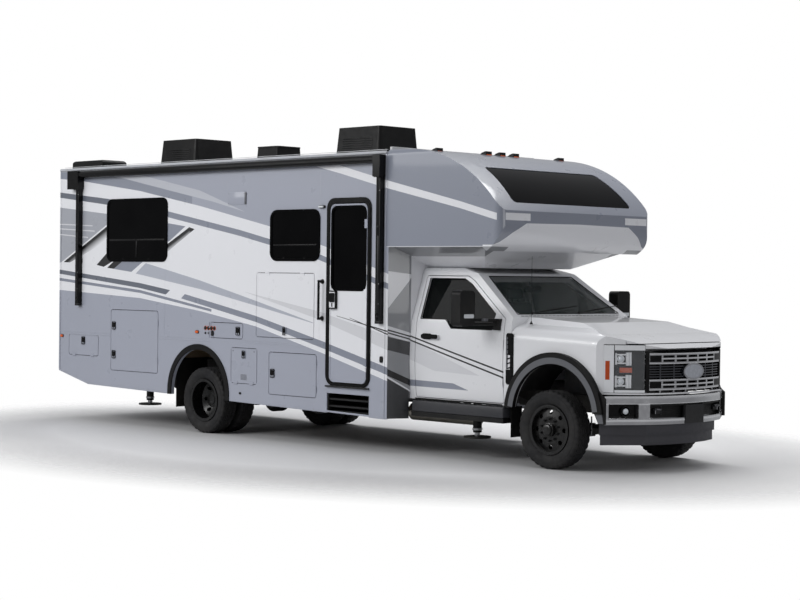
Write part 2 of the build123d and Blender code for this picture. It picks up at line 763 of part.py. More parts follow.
def hatch_door(row):
    """A hatch door: its panel, two hinge barrels on its edge and a raised latch."""
    name, side, x0, x1, z0, z1, edge, _ = row
    y_face = side * body_half_width
    panel = side_window(hatch_size(row), y_face, side * (body_half_width - hatch_thickness), grow=-hatch_gap)
    (ax, ay, az), way = hatch_axis(row)
    pieces = [panel]
    leaf_out = side * (body_half_width + 4)
    for share in (0.2, 0.8):
        if way == "Z":
            mid = z0 + share * (z1 - z0)
            pieces.append(post(ax, ay, mid - leaf_length, mid + leaf_length, hinge_r))
            reach = ax - 32 if edge == "front" else ax + 32
            pieces.append(block(ax, reach, y_face + side * hinge_gap, leaf_out, mid - leaf_length,
                                mid + leaf_length))
            pieces.append(block(reach, ax + (reach - ax) * 0.4, y_face, leaf_out, mid - leaf_length,
                                mid + leaf_length))
        else:
            mid = x0 + share * (x1 - x0)
            pieces.append(rod((mid - leaf_length, ay, az), (mid + leaf_length, ay, az), hinge_r))
            reach = az - 32 if edge == "top" else az + 32
            pieces.append(block(mid - leaf_length, mid + leaf_length, y_face + side * hinge_gap, leaf_out,
                                az, reach))
            pieces.append(block(mid - leaf_length, mid + leaf_length, y_face, leaf_out, reach,
                                az + (reach - az) * 0.4))
    latch_x = {"front": x0 + 75, "rear": x1 - 90, "bottom": (x0 + x1) / 2, "top": (x0 + x1) / 2}[edge]
    latch_z = {"front": (z0 + z1) / 2, "rear": (z0 + z1) / 2, "bottom": z1 - 80, "top": z0 + 85}[edge]
    places = [latch_z] if z1 - z0 < 700 or edge == "top" else [z1 - 210, z0 + 210]
    for z in places:
        pieces.append(block(latch_x - 34, latch_x + 34, y_face, side * (body_half_width + 9), z - 48, z + 48))
    return joined(*pieces)


for row in hatches:
    with BuildPart() as hatch:
        add(hatch_door(row))
    save(hatch.part, row[0])

with BuildPart() as storage_boxes:
    for row in hatches:
        _, side, x0, x1, z0, z1, _, depth = row
        inside = box_margin - box_wall
        room = block(x0 - inside, x1 + inside, side * wall_inner_y, side * (wall_inner_y - depth + box_wall),
                     z0 - inside, z1 + inside)
        add(cut(box_form(row, 0), room))
save(storage_boxes.part, "storage_boxes")

# entry door: frame, leaf and glass
entry_x0, entry_x1, entry_z0, entry_z1, entry_r = entry_opening
entry_axis_y = -(body_half_width + hinge_r + frame_bead + hinge_gap)
with BuildPart() as entry_frame:
    ring_size = (entry_x0 + 10, entry_x1 - 10, entry_z0 + 10, entry_z1 - 10, entry_r - 10)
    add(side_ring(ring_size, -body_half_width - hinge_gap, -body_half_width - frame_bead, 34))
    # grab handle beside the door
    handle_x, handle_low, handle_high = entry_x0 - 115, 1452, 1909
    reach_y = -body_half_width - 62
    add(post(handle_x, reach_y, handle_low + 10, handle_high - 10, 13))
    for z in (handle_low + 14, handle_high - 14):
        add(rod((handle_x, reach_y - 8, z), (handle_x, -body_half_width - hinge_gap, z), 14))
save(entry_frame.part, "entry_frame")

door_gap = 9
entry_door_thickness = 40
with BuildPart() as entry_door:
    leaf_size = (entry_x0 + 10, entry_x1 - 10, entry_z0 + 10, entry_z1 - 10, entry_r - 10)
    y_face = -body_half_width - 8
    add(cut(side_window(leaf_size, y_face, y_face + entry_door_thickness, grow=-door_gap),
            side_window(entry_glass, y_face - 5, y_face + entry_door_thickness + 5)))
    for share in (0.12, 0.5, 0.88):
        mid = entry_z0 + share * (entry_z1 - entry_z0)
        hinge_x = entry_x1 - 10
        add(post(hinge_x, entry_axis_y, mid - 50, mid + 50, hinge_r))
        add(block(hinge_x - 42, hinge_x, entry_axis_y - 4, -body_half_width - frame_bead - hinge_gap,
                  mid - 50, mid + 50))
        add(block(hinge_x - 15, hinge_x - door_gap, entry_axis_y, y_face + 1, mid - 50, mid + 50))
    # latch with its paddle
    add(block(entry_x0 + 26, entry_x0 + 138, y_face, y_face - 26, 1589, 1785))
save(entry_door.part, "entry_door")

with BuildPart() as entry_door_glass:
    add(side_window(entry_glass, y_face + 6, y_face + 14, grow=-hinge_gap))
    add(side_ring((entry_glass[0] + 16, entry_glass[1] - 16, entry_glass[2] + 16, entry_glass[3] - 16,
                   entry_glass[4] - 16), y_face - 6, y_face + 14, 16 - hinge_gap))
    add(side_ring(entry_glass, y_face - hinge_gap, y_face - 6, 14))
save(entry_door_glass.part, "entry_door_glass")

with BuildPart() as entry_step:
    x0, x1 = entry_x0 - step_depth_x + 6, entry_x1 + step_depth_x - 6
    y_out = -body_half_width + 12
    back_y = y_out + 330
    well_bottom = skirt_z(x1) + 12
    add(block(x0, x1, back_y - 10, back_y, well_bottom, step_top_z + 40 - hinge_gap))
    for x in (x0, x1 - 14):
        add(block(x, x + 14, y_out, back_y, well_bottom, step_top_z - 8))
    add(block(x0, x1, y_out + 60, back_y, well_bottom, well_bottom + 30))
    for tread_z in (well_bottom + 70, well_bottom + 150):
        add(block(x0, x1, y_out + 14, y_out + 300, tread_z, tread_z + 22))
save(entry_step.part, "entry_step")

with BuildPart() as arch_trims:
    for side, _ in SIDES:
        y0, y1 = side * (body_half_width + hinge_gap), side * (body_half_width + flare_proud)
        ring = drum(rear_arch_x, y0, y1, rear_arch_z, rear_arch_r + rear_flare_width, hole=rear_arch_r - 8)
        legs = [block(rear_arch_x + way * (rear_arch_r - 8), rear_arch_x + way * (rear_arch_r + rear_flare_width),
                      y0, y1, rear_arch_z, skirt_z(rear_arch_x + way * rear_arch_r)) for way in (-1, 1)]
        keep = block(rear_arch_x - 800, rear_arch_x + 800, y0, y1, rear_arch_z, 2000)
        add(joined(common(ring, keep), *legs))
        y0, y1 = side * (fender_half_width + hinge_gap), side * (fender_half_width + front_flare_proud)
        ring = drum(front_arch_x, y0, y1, front_arch_z, front_arch_r + front_flare_width, hole=front_arch_r - 6)
        keep = block(front_arch_x - 800, front_arch_x + 800, y0, y1, front_arch_z + 60, 2000)
        leg = side_prism([(front_arch_x + front_arch_r - 15, front_arch_z + 80),
                          (front_arch_x + front_arch_r + 50, bumper_bottom_z + 6),
                          (front_leg_x, bumper_bottom_z + 6), (front_leg_x, bumper_top_z - 25),
                          (front_leg_x - 40, bumper_top_z + 5), (front_arch_x + front_arch_r + 30, 850)],
                         *sorted((y0, side * (fender_half_width + front_leg_proud))))
        add(joined(common(ring, keep), leg))
save(arch_trims.part, "arch_trims")

with BuildPart() as mud_flaps:
    for side, _ in SIDES:
        rear_flap_x = rear_arch_x - rear_arch_r + 8
        add(block(rear_flap_x - 8, rear_flap_x, side * 700, side * (wall_inner_y - 30), 290,
                  floor_bottom_z - hinge_gap))
        add(block(cowl_x + 12, cowl_x + 20, side * 830, side * 1000, 285, cab_sill_z - hinge_gap))
save(mud_flaps.part, "mud_flaps")


# ------------------------------------------------------------------ cab
def cab_solid(inset, x0, x1):
    """The cab's outer form, or one set inside it, from x0 to x1, cut back to the windscreen's slope."""
    half, belt, roof = cab_half_width - inset, cab_belt_half - inset, cab_roof_half - inset
    floor = cab_sill_z if inset < cab_wall else cab_floor_z
    top = cab_roof_z - inset
    slope_drop = inset * 1.22
    with BuildPart(mode=Mode.PRIVATE) as form:
        with BuildSketch(Plane.YZ.offset(x0)):
            with BuildLine():
                Line((0, floor), (half - 35, floor))
                ThreePointArc((half - 35, floor), (half, (floor + cab_belt_z) / 2), (belt, cab_belt_z))
                Line((belt, cab_belt_z), (roof + 12, top - 58))
                ThreePointArc((roof + 12, top - 58), (roof - 16, top - 14), (roof - 80, top))
                Line((roof - 80, top), (0, top))
                mirror(about=Plane.YZ)
            make_face()
        extrude(amount=x1 - x0)
        with BuildSketch(xz_at(2000)):
            with BuildLine():
                Polyline((header_x - 260, top + 2), (header_x, header_z - slope_drop),
                         (cowl_x, cowl_z - slope_drop), (cowl_x + 400, cowl_z - slope_drop - 20),
                         (cowl_x + 400, top + 400), (header_x - 260, top + 400), close=True)
            make_face()
        extrude(amount=4000, mode=Mode.SUBTRACT)
    return form.part


def slope_plane(top, bottom, lift=0.0):
    """A plane through two (x, z) points, top first, facing up and forward."""
    (x0, z0), (x1, z1) = top, bottom
    run = math.hypot(x1 - x0, z0 - z1)
    normal = ((z0 - z1) / run, 0, (x1 - x0) / run)
    middle = ((x0 + x1) / 2 + normal[0] * lift, 0, (z0 + z1) / 2 + normal[2] * lift)
    return Plane(origin=middle, x_dir=(0, 1, 0), z_dir=normal), run


def slope_pane(top, bottom, half_top, half_bottom, radius, low, high, shrink=0.0):
    """A rounded trapezoid plate lying on a slope, from `low` to `high` above it."""
    plane, run = slope_plane(top, bottom, low)
    with BuildPart(mode=Mode.PRIVATE) as pane:
        with BuildSketch(plane) as outline:
            with BuildLine():
                Polyline((-half_bottom, -run / 2), (half_bottom, -run / 2), (half_top, run / 2),
                         (-half_top, run / 2), close=True)
            make_face()
            fillet(outline.vertices(), radius)
            if shrink:
                offset(amount=-shrink)
        extrude(amount=high - low)
    return pane.part


screen_top = (header_x + 45, header_z - 32)
screen_bottom = (cowl_x - 40, cowl_z + 28)
screen_top_half, screen_bottom_half = 690, 850
door_outline = [
    (cab_door_rear_x, cab_door_bottom_z), (cab_door_front_x, cab_door_bottom_z), (cab_door_front_x, 1526),
    (header_x - 20, 1928), (header_x - 130, cab_door_top_z), (cab_door_rear_x, cab_door_top_z),
]
door_glass_outline = [
    (cab_door_rear_x + 55, 1500), (cab_door_rear_x + 60, 1945), (header_x - 170, 1945), (header_x - 50, 1888),
    (2890, 1577), (2890, 1400), (2270, 1400), (2180, 1500),
]
cab_outer = cab_solid(0, cab_back_x, cowl_x)
cab_inner = cab_solid(cab_wall, cab_back_x - 10, cowl_x - cab_wall)
under_cab = block(cab_back_x - 10, cowl_x + 10, -cab_half_width + cab_wall, cab_half_width - cab_wall,
                  cab_sill_z - 100, cab_floor_z - cab_floor_plate)
cab_walls = cut(cab_outer, cab_inner, under_cab)
floor_zone = block(cab_back_x - 20, cowl_x + 20, -cab_half_width + cab_wall - 2, cab_half_width - cab_wall + 2,
                   cab_sill_z - 200, cab_floor_z + 2)


def door_zone(side, shrink=0.0):
    """What a cab door takes out of the cab's walls."""
    return cut(side_prism(door_outline, side * 600, side * 1100, corner=30, shrink=shrink), floor_zone)

with BuildPart() as cab_shell:
    add(cab_walls)
    for side, _ in SIDES:
        add(door_zone(side), mode=Mode.SUBTRACT)
    add(slope_pane(screen_top, screen_bottom, screen_top_half, screen_bottom_half, 60, -160, 60),
        mode=Mode.SUBTRACT)
save(cab_shell.part, "cab_shell")

with BuildPart() as windscreen:
    add(slope_pane(screen_top, screen_bottom, screen_top_half, screen_bottom_half, 60, -14, -8,
                   shrink=hinge_gap))
save(windscreen.part, "windscreen")

glass_layer = cut(cab_solid(14, cab_back_x, cowl_x),
                  cab_solid(14 + door_glass_thickness, cab_back_x - 5, cowl_x + 5))
cab_hinge_x = cab_door_front_x - cab_door_gap / 2
cab_hinge_y = cab_half_width + 3
for side, word in SIDES:
    keep = door_zone(side, shrink=cab_door_gap)
    hole = side_prism(door_glass_outline, side * 600, side * 1100, corner=28)
    with BuildPart() as cab_door:
        add(common(cab_walls, keep))
        add(hole, mode=Mode.SUBTRACT)
        for z in (860, 1250):
            add(post(cab_hinge_x, side * cab_hinge_y, z - 45, z + 45, cab_door_gap / 2 - hinge_gap))
            add(block(cab_hinge_x - 24, cab_hinge_x, side * (cab_hinge_y - 22), side * cab_hinge_y, z - 45,
                      z + 45))
        # outside handle
        add(block(1868, 2108, side * (cab_half_width - 22), side * (cab_half_width + 24), 1290, 1326))
    save(cab_door.part, f"cab_door_{word}")

    with BuildPart() as door_glass:
        add(common(glass_layer, side_prism(door_glass_outline, side * 600, side * 1100, corner=28,
                                           shrink=hinge_gap)))
    save(door_glass.part, f"cab_door_glass_{word}")

    with BuildPart() as mirror_piece:
        head_in, head_out = mirror_half_span - mirror_width, mirror_half_span
        head = block(mirror_x - mirror_depth / 2, mirror_x + mirror_depth / 2, side * head_in, side * head_out,
                     mirror_z - mirror_height / 2, mirror_z + mirror_height / 2)
        head = rounded(head, 45, lambda part: part.edges().filter_by(Axis.X))
        base = block(2905, 3000, side * 900, side * 1015, 1405, 1525)
        arms = [rod((2950, side * 1000, z), (mirror_x + 20, side * (head_in + 20), z), 15) for z in (1468, 1510)]
        add(cut(joined(head, base, *arms), cab_outer.moved(Location((0, side * hinge_gap, 0)))))
    save(mirror_piece.part, f"mirror_{word}")

with BuildPart() as seats:
    for side, _ in SIDES:
        y = side * seat_y
        cushion = [(seat_x - 60, 1050), (seat_x + 450, 1080), (seat_x + 460, 1165), (seat_x - 60, 1165)]
        back = [(seat_x - 60, 1110), (seat_x + 60, 1110), (seat_x - 90, 1700), (seat_x - 190, 1700)]
        head = [(seat_x - 180, 1690), (seat_x - 100, 1690), (seat_x - 120, 1850), (seat_x - 195, 1850)]
        add(side_prism(cushion, y - 250, y + 250, corner=30))
        add(side_prism(back, y - 245, y + 245, corner=30))
        add(side_prism(head, y - 130, y + 130, corner=20))
        add(block(seat_x, seat_x + 420, y - 200, y + 200, cab_floor_z + hinge_gap, 1070))
save(seats.part, "seats")

column_axis = Vector(-math.cos(math.radians(steer_wheel_tilt)), 0, math.sin(math.radians(steer_wheel_tilt)))
wheel_centre = Vector(steer_wheel_x, steer_wheel_y, steer_wheel_z)
with BuildPart() as dashboard:
    inner_front = cowl_x - cab_wall - hinge_gap
    outline = [(inner_front, 1120), (inner_front, 1440), (2960, 1490), (2830, 1450), (2800, 1330), (2880, 1150)]
    add(side_prism(outline, -cab_half_width + 130, cab_half_width - 130, corner=18))
    column_end = wheel_centre - column_axis * 40
    add(rod(tuple(wheel_centre - column_axis * 330), tuple(column_end), 32))
save(dashboard.part, "dashboard")

wheel_plane = Plane(origin=wheel_centre, x_dir=(0, 1, 0), z_dir=column_axis)
with BuildPart(mode=Mode.PRIVATE) as wheel_form:
    with BuildSketch(Plane.XZ):
        with Locations((steer_wheel_r, 0)):
            Circle(15)
    revolve(axis=Axis.Z)
    with Locations((0, 0, -20)):
        Cylinder(42, 40 - hinge_gap)
    for turn in (0, 180, 270):
        with BuildSketch(Plane.XY.offset(-14)):
            with Locations(Location((0, 0, 0), (0, 0, turn))):
                with Locations((steer_wheel_r / 2, 0)):
                    Rectangle(steer_wheel_r, 30)
        extrude(amount=14)
with BuildPart() as steering_wheel:
    add(wheel_form.part.moved(wheel_plane.location))
save(steering_wheel.part, "steering_wheel")


# ------------------------------------------------------------------ front cap
def cap_form(inset, half_width):
    """The over-cab form: roof, curved front, upright nose and chin, down to its side edge."""
    rear = cap_start_x - (5 if inset else 0)
    with BuildPart(mode=Mode.PRIVATE) as form:
        with BuildSketch(xz_at(half_width)):
            with BuildLine():
                Polyline((rear, cap_side_z + inset), (rear, roof_edge_z - inset),
                         (cap_roof_x, cap_roof_z - inset))
                ThreePointArc((cap_roof_x, cap_roof_z - inset),
                              (cap_arc_x - 0.45 * inset, cap_arc_z - 0.9 * inset),
                              (cap_brow_x - inset, cap_brow_z - 0.4 * inset))
                Line((cap_brow_x - inset, cap_brow_z - 0.4 * inset), (cap_brow_x - inset, cap_nose_z))
                ThreePointArc((cap_brow_x - inset, cap_nose_z), (cap_lip_x - inset, cap_lip_z),
                              (cap_chin_x - inset, cap_chin_z + inset))
                Polyline((cap_chin_x - inset, cap_chin_z + inset), (cap_chin_x - 60 - inset, cap_side_z + inset),
                         (rear, cap_side_z + inset))
            make_face()
        extrude(amount=2 * half_width)
    return form.part


def fairing_form(inset, z_low, z_high):
    """The tapering form between the cap's sides and the cab roof."""
    top_front, low_front = cap_chin_x - 62, header_x + 12
    with BuildPart(mode=Mode.PRIVATE) as form:
        for z, front, half in ((z_high, top_front, fairing_top_half), (z_low, low_front, cab_roof_half - 84)):
            with BuildSketch(Plane.XY.offset(z)):
                with Locations(((wing_x + front) / 2, 0)):
                    Rectangle(front - wing_x - 2 * inset, 2 * half - 2 * inset)
        loft(ruled=True)
    return form.part


cap_outer = cap_form(0, body_half_width)
# rounding of the cap's roof edges, and of its upright front corners
cap_section = cross_prism([(-body_half_width, cap_side_z - 500), (body_half_width, cap_side_z - 500),
                           (body_half_width, roof_edge_z + 0.5), (-body_half_width, roof_edge_z + 0.5)],
                          cap_start_x, cap_brow_x + 1, corner=cap_edge_r)
with BuildPart() as cap_plan_form:
    with BuildSketch(Plane.XY.offset(cap_side_z - 200)):
        with Locations(((cap_brow_x - 1000), 0)):
            RectangleRounded(2000, 2 * body_half_width, cap_corner_r)
        with Locations(((cap_start_x + 300), 0)):
            Rectangle(600, 2 * body_half_width)
    extrude(amount=1400)
cap_plan = cap_plan_form.part
cap_outer = common(common(cap_outer, cap_section), cap_plan)
cap_pane = ((cap_window_top_x, 3142), (cap_window_bottom_x, 2742))
with BuildPart() as front_cap:
    add(cap_outer)
    fairing_low_z = cab_roof_z + hinge_gap
    add(fairing_form(0, fairing_low_z, cap_side_z + 1))
    add(fairing_form(cap_wall, fairing_low_z - 1, cap_side_z), mode=Mode.SUBTRACT)
    add(cap_form(cap_wall, body_half_width - cap_wall), mode=Mode.SUBTRACT)
    add(slope_pane(*cap_pane, cap_window_top_half, cap_window_bottom_half, 60, -150, 150), mode=Mode.SUBTRACT)
    for side, _ in SIDES:
        inner_y = cab_half_width + 2
        with BuildSketch(Plane.XY.offset(wing_bottom_z)):
            with BuildLine():
                Polyline((cap_start_x, side * body_half_width), (cap_start_x + 34, side * body_half_width),
                         (wing_x + 25, side * (inner_y + 16)), (wing_x + 25, side * inner_y),
                         (wing_x - 12, side * inner_y), (cap_start_x, side * (body_half_width - wall)), close=True)
            make_face()
        extrude(amount=cap_side_z + 1 - wing_bottom_z)
        back_plate = block(wing_x - 12, wing_x + 25, side * 640, side * (inner_y + 1), cab_sill_z,
                           cap_side_z + 1)
        add(cut(back_plate, cab_solid(-hinge_gap, cab_back_x, cowl_x)))
save(front_cap.part, "front_cap")

with BuildPart() as coach_windows:
    for side, _ in SIDES:
        for size in (bedroom_window, dinette_window):
            pane = side_window(size, side * (body_half_width - 20), side * (body_half_width + 6),
                               grow=-hinge_gap)
            rim_ring = side_ring(size, side * (body_half_width + hinge_gap),
                                 side * (body_half_width + frame_bead), 22)
            lip = side_ring((size[0] + 12, size[1] - 12, size[2] + 12, size[3] - 12, size[4] - 12),
                            side * (body_half_width - 30), side * (body_half_width + frame_bead),
                            12 - hinge_gap)
            add(joined(pane, rim_ring, lip))
    layer = cut(cap_form(6, body_half_width), cap_form(14, body_half_width))
    add(common(layer, slope_pane(*cap_pane, cap_window_top_half, cap_window_bottom_half, 60, -150, 150,
                                 shrink=hinge_gap)))
save(coach_windows.part, "coach_windows")


# ------------------------------------------------------------------ nose of the truck
def nose_solid(inset, low):
    """Hood and fenders as one form: its side, its cross-section and its plan, taken together."""
    half = fender_half_width - inset
    front = nose_x - inset
    rear = cowl_x + hinge_gap - (5 if inset > 0 else 0)
    shoulder, crown = fender_shoulder_z - inset, fender_crown_z - inset
    with BuildPart(mode=Mode.PRIVATE) as form:
        with BuildSketch(xz_at(half)):
            with BuildLine():
                Polyline((rear, low), (rear, hood_rear_z - inset), (hood_mid_x, hood_mid_z - inset),
                         (hood_fore_x, hood_fore_z - inset))
                ThreePointArc((hood_fore_x, hood_fore_z - inset),
                              ((hood_fore_x + front) / 2 + 30, (hood_fore_z + hood_lip_z) / 2 + 12 - inset),
                              (front, hood_lip_z - inset))
                Polyline((front, hood_lip_z - inset), (front, low), (rear, low))
            make_face()
        extrude(amount=2 * half)
        with BuildSketch(Plane.YZ.offset(rear - 1)):
            with BuildLine():
                Polyline((0, low - 1), (half, low - 1), (half, shoulder))
                ThreePointArc((half, shoulder), (half - 22, shoulder + 75), (half - 90, crown - 35))
                Polyline((half - 90, crown - 35), (half - 205, crown), (half - 300, crown + 65),
                         (0, crown + 100))
                mirror(about=Plane.YZ)
            make_face()
        extrude(amount=nose_x - rear + 40, dir=(1, 0, -fender_fall), mode=Mode.INTERSECT)
        with BuildSketch(Plane.XY.offset(low - 80)):
            with BuildLine():
                Line((rear - 1, half + 1), (front - nose_side_back, half + 1))
                ThreePointArc((front - nose_side_back, half + 1), (front - nose_bow_back - 94, half - 235),
                              (front - nose_bow_back, half - nose_bow_in))
                ThreePointArc((front - nose_bow_back, half - nose_bow_in), (front, 0),
                              (front - nose_bow_back, nose_bow_in - half))
                ThreePointArc((front - nose_bow_back, nose_bow_in - half),
                              (front - nose_bow_back - 94, 235 - half), (front - nose_side_back, -half - 1))
                Polyline((front - nose_side_back, -half - 1), (rear - 1, -half - 1), (rear - 1, half + 1))
            make_face()
        extrude(amount=1800, mode=Mode.INTERSECT)
    return form.part


hood_half = fender_half_width - 205


def hood_region(grow):
    """The space that the hood takes out of the nose."""
    outline = [(cowl_x + 25 - grow, 1300 - grow), (nose_x - 120, hood_corner_z - grow),
               (nose_x + 30, hood_lip_z - grow), (nose_x + 30, 1700), (cowl_x + 25 - grow, 1700)]
    return side_prism(outline, -hood_half - grow, hood_half + grow)


nose_outer = nose_solid(0, cab_sill_z)
nose_walls = cut(nose_outer, nose_solid(fender_skin, cab_sill_z - 10))
lamp_region = {side: block(nose_x - 402, nose_x + 20, side * lamp_inner_y, side * (fender_half_width + 20),
                           lamp_bottom_z, lamp_top_z) for side, _ in SIDES}
grille_region = block(nose_x - 200, nose_x + 20, -lamp_inner_y, lamp_inner_y, grille_bottom_z, grille_top_z + 8)

with BuildPart() as hood:
    add(common(nose_walls, hood_region(-hood_gap / 2)))
    # hinge barrels under the rear edge
    for side, _ in SIDES:
        add(block(cowl_x + 34, cowl_x + 74, side * 500, side * 560, hood_rear_z - 50,
                  hood_rear_z - fender_skin))
save(hood.part, "hood")

with BuildPart() as front_fenders:
    add(cut(nose_walls, hood_region(hood_gap / 2), grille_region, lamp_region[-1], lamp_region[1]))
    for side, _ in SIDES:
        add(arch_cut(front_arch_x, front_arch_z, front_arch_r, side * 400, side * 1200), mode=Mode.SUBTRACT)
    add(block(front_arch_x, nose_x + 50, -1200, 1200, 500, bumper_top_z + 15), mode=Mode.SUBTRACT)
    for side, _ in SIDES:
        liner = drum(front_arch_x, side * 500, side * (fender_half_width - 2), front_arch_z, front_arch_r + 10,
                     hole=front_arch_r - 2)
        keep = block(front_arch_x - 700, front_arch_x + 700, side * 400, side * 1100, front_arch_z + 230, 1300)
        add(common(common(liner, keep), nose_outer))
    # radiator and its support between the fenders
    support = joined(block(nose_x - 312, nose_x - 262, -1000, 1000, lamp_bottom_z - 14, lamp_bottom_z - 1),
                     block(nose_x - 302, nose_x - 262, -600, 600, lamp_bottom_z - 14, lamp_top_z - 34))
    add(common(support, nose_solid(fender_skin - 1, cab_sill_z)))
save(front_fenders.part, "front_fenders")

with BuildPart() as headlamps:
    shell = cut(nose_solid(4, cab_sill_z), nose_solid(120, cab_sill_z - 10))
    pocket = cut(nose_solid(-5, cab_sill_z), nose_solid(34, cab_sill_z - 10))
    for side, _ in SIDES:
        lamp = common(shell, block(nose_x - 397, nose_x + 20, side * (lamp_inner_y + 3),
                                   side * (fender_half_width + 20), lamp_bottom_z + 4, lamp_top_z - 6))
        window = common(pocket, block(nose_x - 397, nose_x + 20, side * (lamp_inner_y - 10),
                                      side * lamp_window_y, lamp_window_bottom_z, lamp_window_top_z))
        add(cut(lamp, window))
save(headlamps.part, "headlamps")


def grille_layer(front_inset, rear_inset, *forms):
    """Forms cut out of a layer that follows the bow of the nose."""
    layer = cut(nose_solid(front_inset, cab_sill_z), nose_solid(rear_inset, cab_sill_z - 10))
    return common(layer, joined(*forms))


def grille_block(y0, y1, z0, z1):
    return block(nose_x - 260, nose_x + 20, y0, y1, z0, z1)


with BuildPart() as grille:
    grille_half = lamp_inner_y - 3
    low, high = grille_bottom_z + 3, grille_top_z - 16
    slots = [grille_block(column * grille_slot_pitch_y - grille_slot_width / 2,
                          column * grille_slot_pitch_y + grille_slot_width / 2,
                          middle + row * grille_slot_pitch_z / 2 - grille_slot_height / 2,
                          middle + row * grille_slot_pitch_z / 2 + grille_slot_height / 2)
             for middle in (grille_upper_z, grille_lower_z) for row in (-1, 1) for column in range(-2, 3)]
    bars = grille_layer(2, 26, *[grille_block(-grille_half, grille_half, middle - grille_bar_height / 2,
                                              middle + grille_bar_height / 2)
                                 for middle in (grille_upper_z, grille_lower_z)])
    add(cut(bars, *slots))
    # five louvres between the slotted bars
    louvre_bottom = grille_lower_z + grille_bar_height / 2
    louvre_pitch = (grille_upper_z - grille_lower_z - grille_bar_height) / 6
    for row in range(1, 6):
        z = louvre_bottom + row * louvre_pitch
        add(grille_layer(8, 30, grille_block(-grille_half, grille_half, z - 5, z + 5)))
    # posts behind the bars and the plate that carries them
    posts = [grille_block(y - 8, y + 8, low, grille_upper_z + grille_bar_height / 2 - 4)
             for y in [(column + 0.5) * grille_slot_pitch_y for column in range(-3, 3)]]
    posts += [grille_block(side * 600, side * grille_half, low, grille_upper_z + grille_bar_height / 2 - 4)
              for side, _ in SIDES]
    add(grille_layer(20, grille_post_depth, *posts))
    add(grille_layer(grille_post_depth - 2, grille_post_depth + 14,
                     grille_block(-grille_half, grille_half, low, high)))
    # bare oval badge plate
    with BuildSketch(Plane.YZ.offset(nose_x - grille_post_depth)):
        with Locations((0, emblem_z)):
            Ellipse(emblem_half_width, emblem_half_height)
    extrude(amount=grille_post_depth + 6)
save(grille.part, "grille")


def bumper_plan(front, z0, z1, depth, corner_half, end_back, end_half):
    """A bar bowed across the front and swept back at its ends, from a plan outline."""
    corner_back = 110
    with BuildPart(mode=Mode.PRIVATE) as bar:
        with BuildSketch(Plane.XY.offset(z0)):
            with BuildLine():
                ThreePointArc((front - corner_back, -corner_half), (front, 0), (front - corner_back, corner_half))
                Polyline((front - corner_back, corner_half), (front - end_back, end_half),
                         (front - end_back - 20, end_half - depth), (front - corner_back - depth, corner_half - 30))
                ThreePointArc((front - corner_back - depth, corner_half - 30), (front - depth, 0),
                              (front - corner_back - depth, 30 - corner_half))
                Polyline((front - corner_back - depth, 30 - corner_half), (front - end_back - 20, depth - end_half),
                         (front - end_back, -end_half), (front - corner_back, -corner_half))
            make_face()
        extrude(amount=z1 - z0)
    return bar.part


with BuildPart() as front_bumper:
    add(bumper_plan(bumper_nose_x, bumper_bottom_z, bumper_top_z, 80, 595, 370, fender_half_width))
    # two lamp pockets and the wide one between them
    pocket = bumper_plan(bumper_nose_x + 1, bumper_pocket_bottom_z, bumper_pocket_top_z, bumper_pocket_depth,
                         595, 370, fender_half_width + 1)
    pocket_ends = [(-600, 600), (-970, -700), (700, 970)]
    for y0, y1 in pocket_ends:
        add(common(pocket, block(bumper_nose_x - 400, bumper_nose_x + 10, y0, y1, 400, 900)),
            mode=Mode.SUBTRACT)
    for side, _ in SIDES:
        add(block(rail_front_x + hinge_gap, bumper_nose_x - 110, side * rail_y, side * (rail_y - 60),
                  front_rail_bottom_z + 20, front_rail_bottom_z + 160))
        hook_x = bumper_nose_x - 155
        add(block(hook_x, hook_x + 58, side * 455, side * 535, 606, 664))
        add(rod((hook_x + 32, side * 495, 600), (hook_x + 32, side * 495, 670), 16), mode=Mode.SUBTRACT)
    plate_z, plate_y = 590, 0
    add(block(bumper_nose_x - 36, bumper_nose_x, plate_y - 156, plate_y + 156, plate_z - 90, plate_z + 98))
    for dy in (-1, 1):
        for dz in (-1, 1):
            add(rod((bumper_nose_x - 30, plate_y + dy * plate_spacing_y / 2, plate_z + dz * plate_spacing_z / 2),
                    (bumper_nose_x + 5, plate_y + dy * plate_spacing_y / 2, plate_z + dz * plate_spacing_z / 2),
                    plate_hole_r), mode=Mode.SUBTRACT)
save(front_bumper.part, "front_bumper")

with BuildPart() as air_dam:
    add(bumper_plan(bumper_nose_x - 60, air_dam_step_z - 1, bumper_bottom_z - hinge_gap, 50, 585, 420, 955))
    add(bumper_plan(bumper_nose_x - 78, air_dam_bottom_z, air_dam_step_z, 40, 575, 400, 940))
save(air_dam.part, "air_dam")

with BuildPart() as running_boards:
    for side, _ in SIDES:
        add(block(1775, cowl_x - 20, side * 880, side * 1085, 432, 482))
        for x in (1900, 2450, 3000):
            add(block(x - 30, x + 30, side * 880, side * 940, 481, cab_sill_z - hinge_gap))
save(running_boards.part, "running_boards")

# ------------------------------------------------------------------ roof fittings and awning
roof_top_z = roof_edge_z + roof_crown + hinge_gap
with BuildPart() as roof_units:
    for x in ac_places:
        with BuildSketch(Plane.XY.offset(roof_top_z)):
            with Locations((x, 0)):
                RectangleRounded(ac_length, ac_width, 70)
        extrude(amount=ac_top_z - roof_top_z, taper=6)
    with BuildSketch(Plane.XY.offset(roof_top_z)):
        with Locations((-1740, 0)):
            RectangleRounded(430, 420, 40)
    extrude(amount=185, taper=5)
    cover = block(-4640, -3960, -1150, -760, roof_edge_z - 25, roof_edge_z + 92)
    cover = rounded(cover, 40, lambda part: part.faces().sort_by(Axis.Z)[-1].edges())
    add(cut(cover, coach_roof.part.moved(Location((0, 0, hinge_gap)))))
save(roof_units.part, "roof_units")

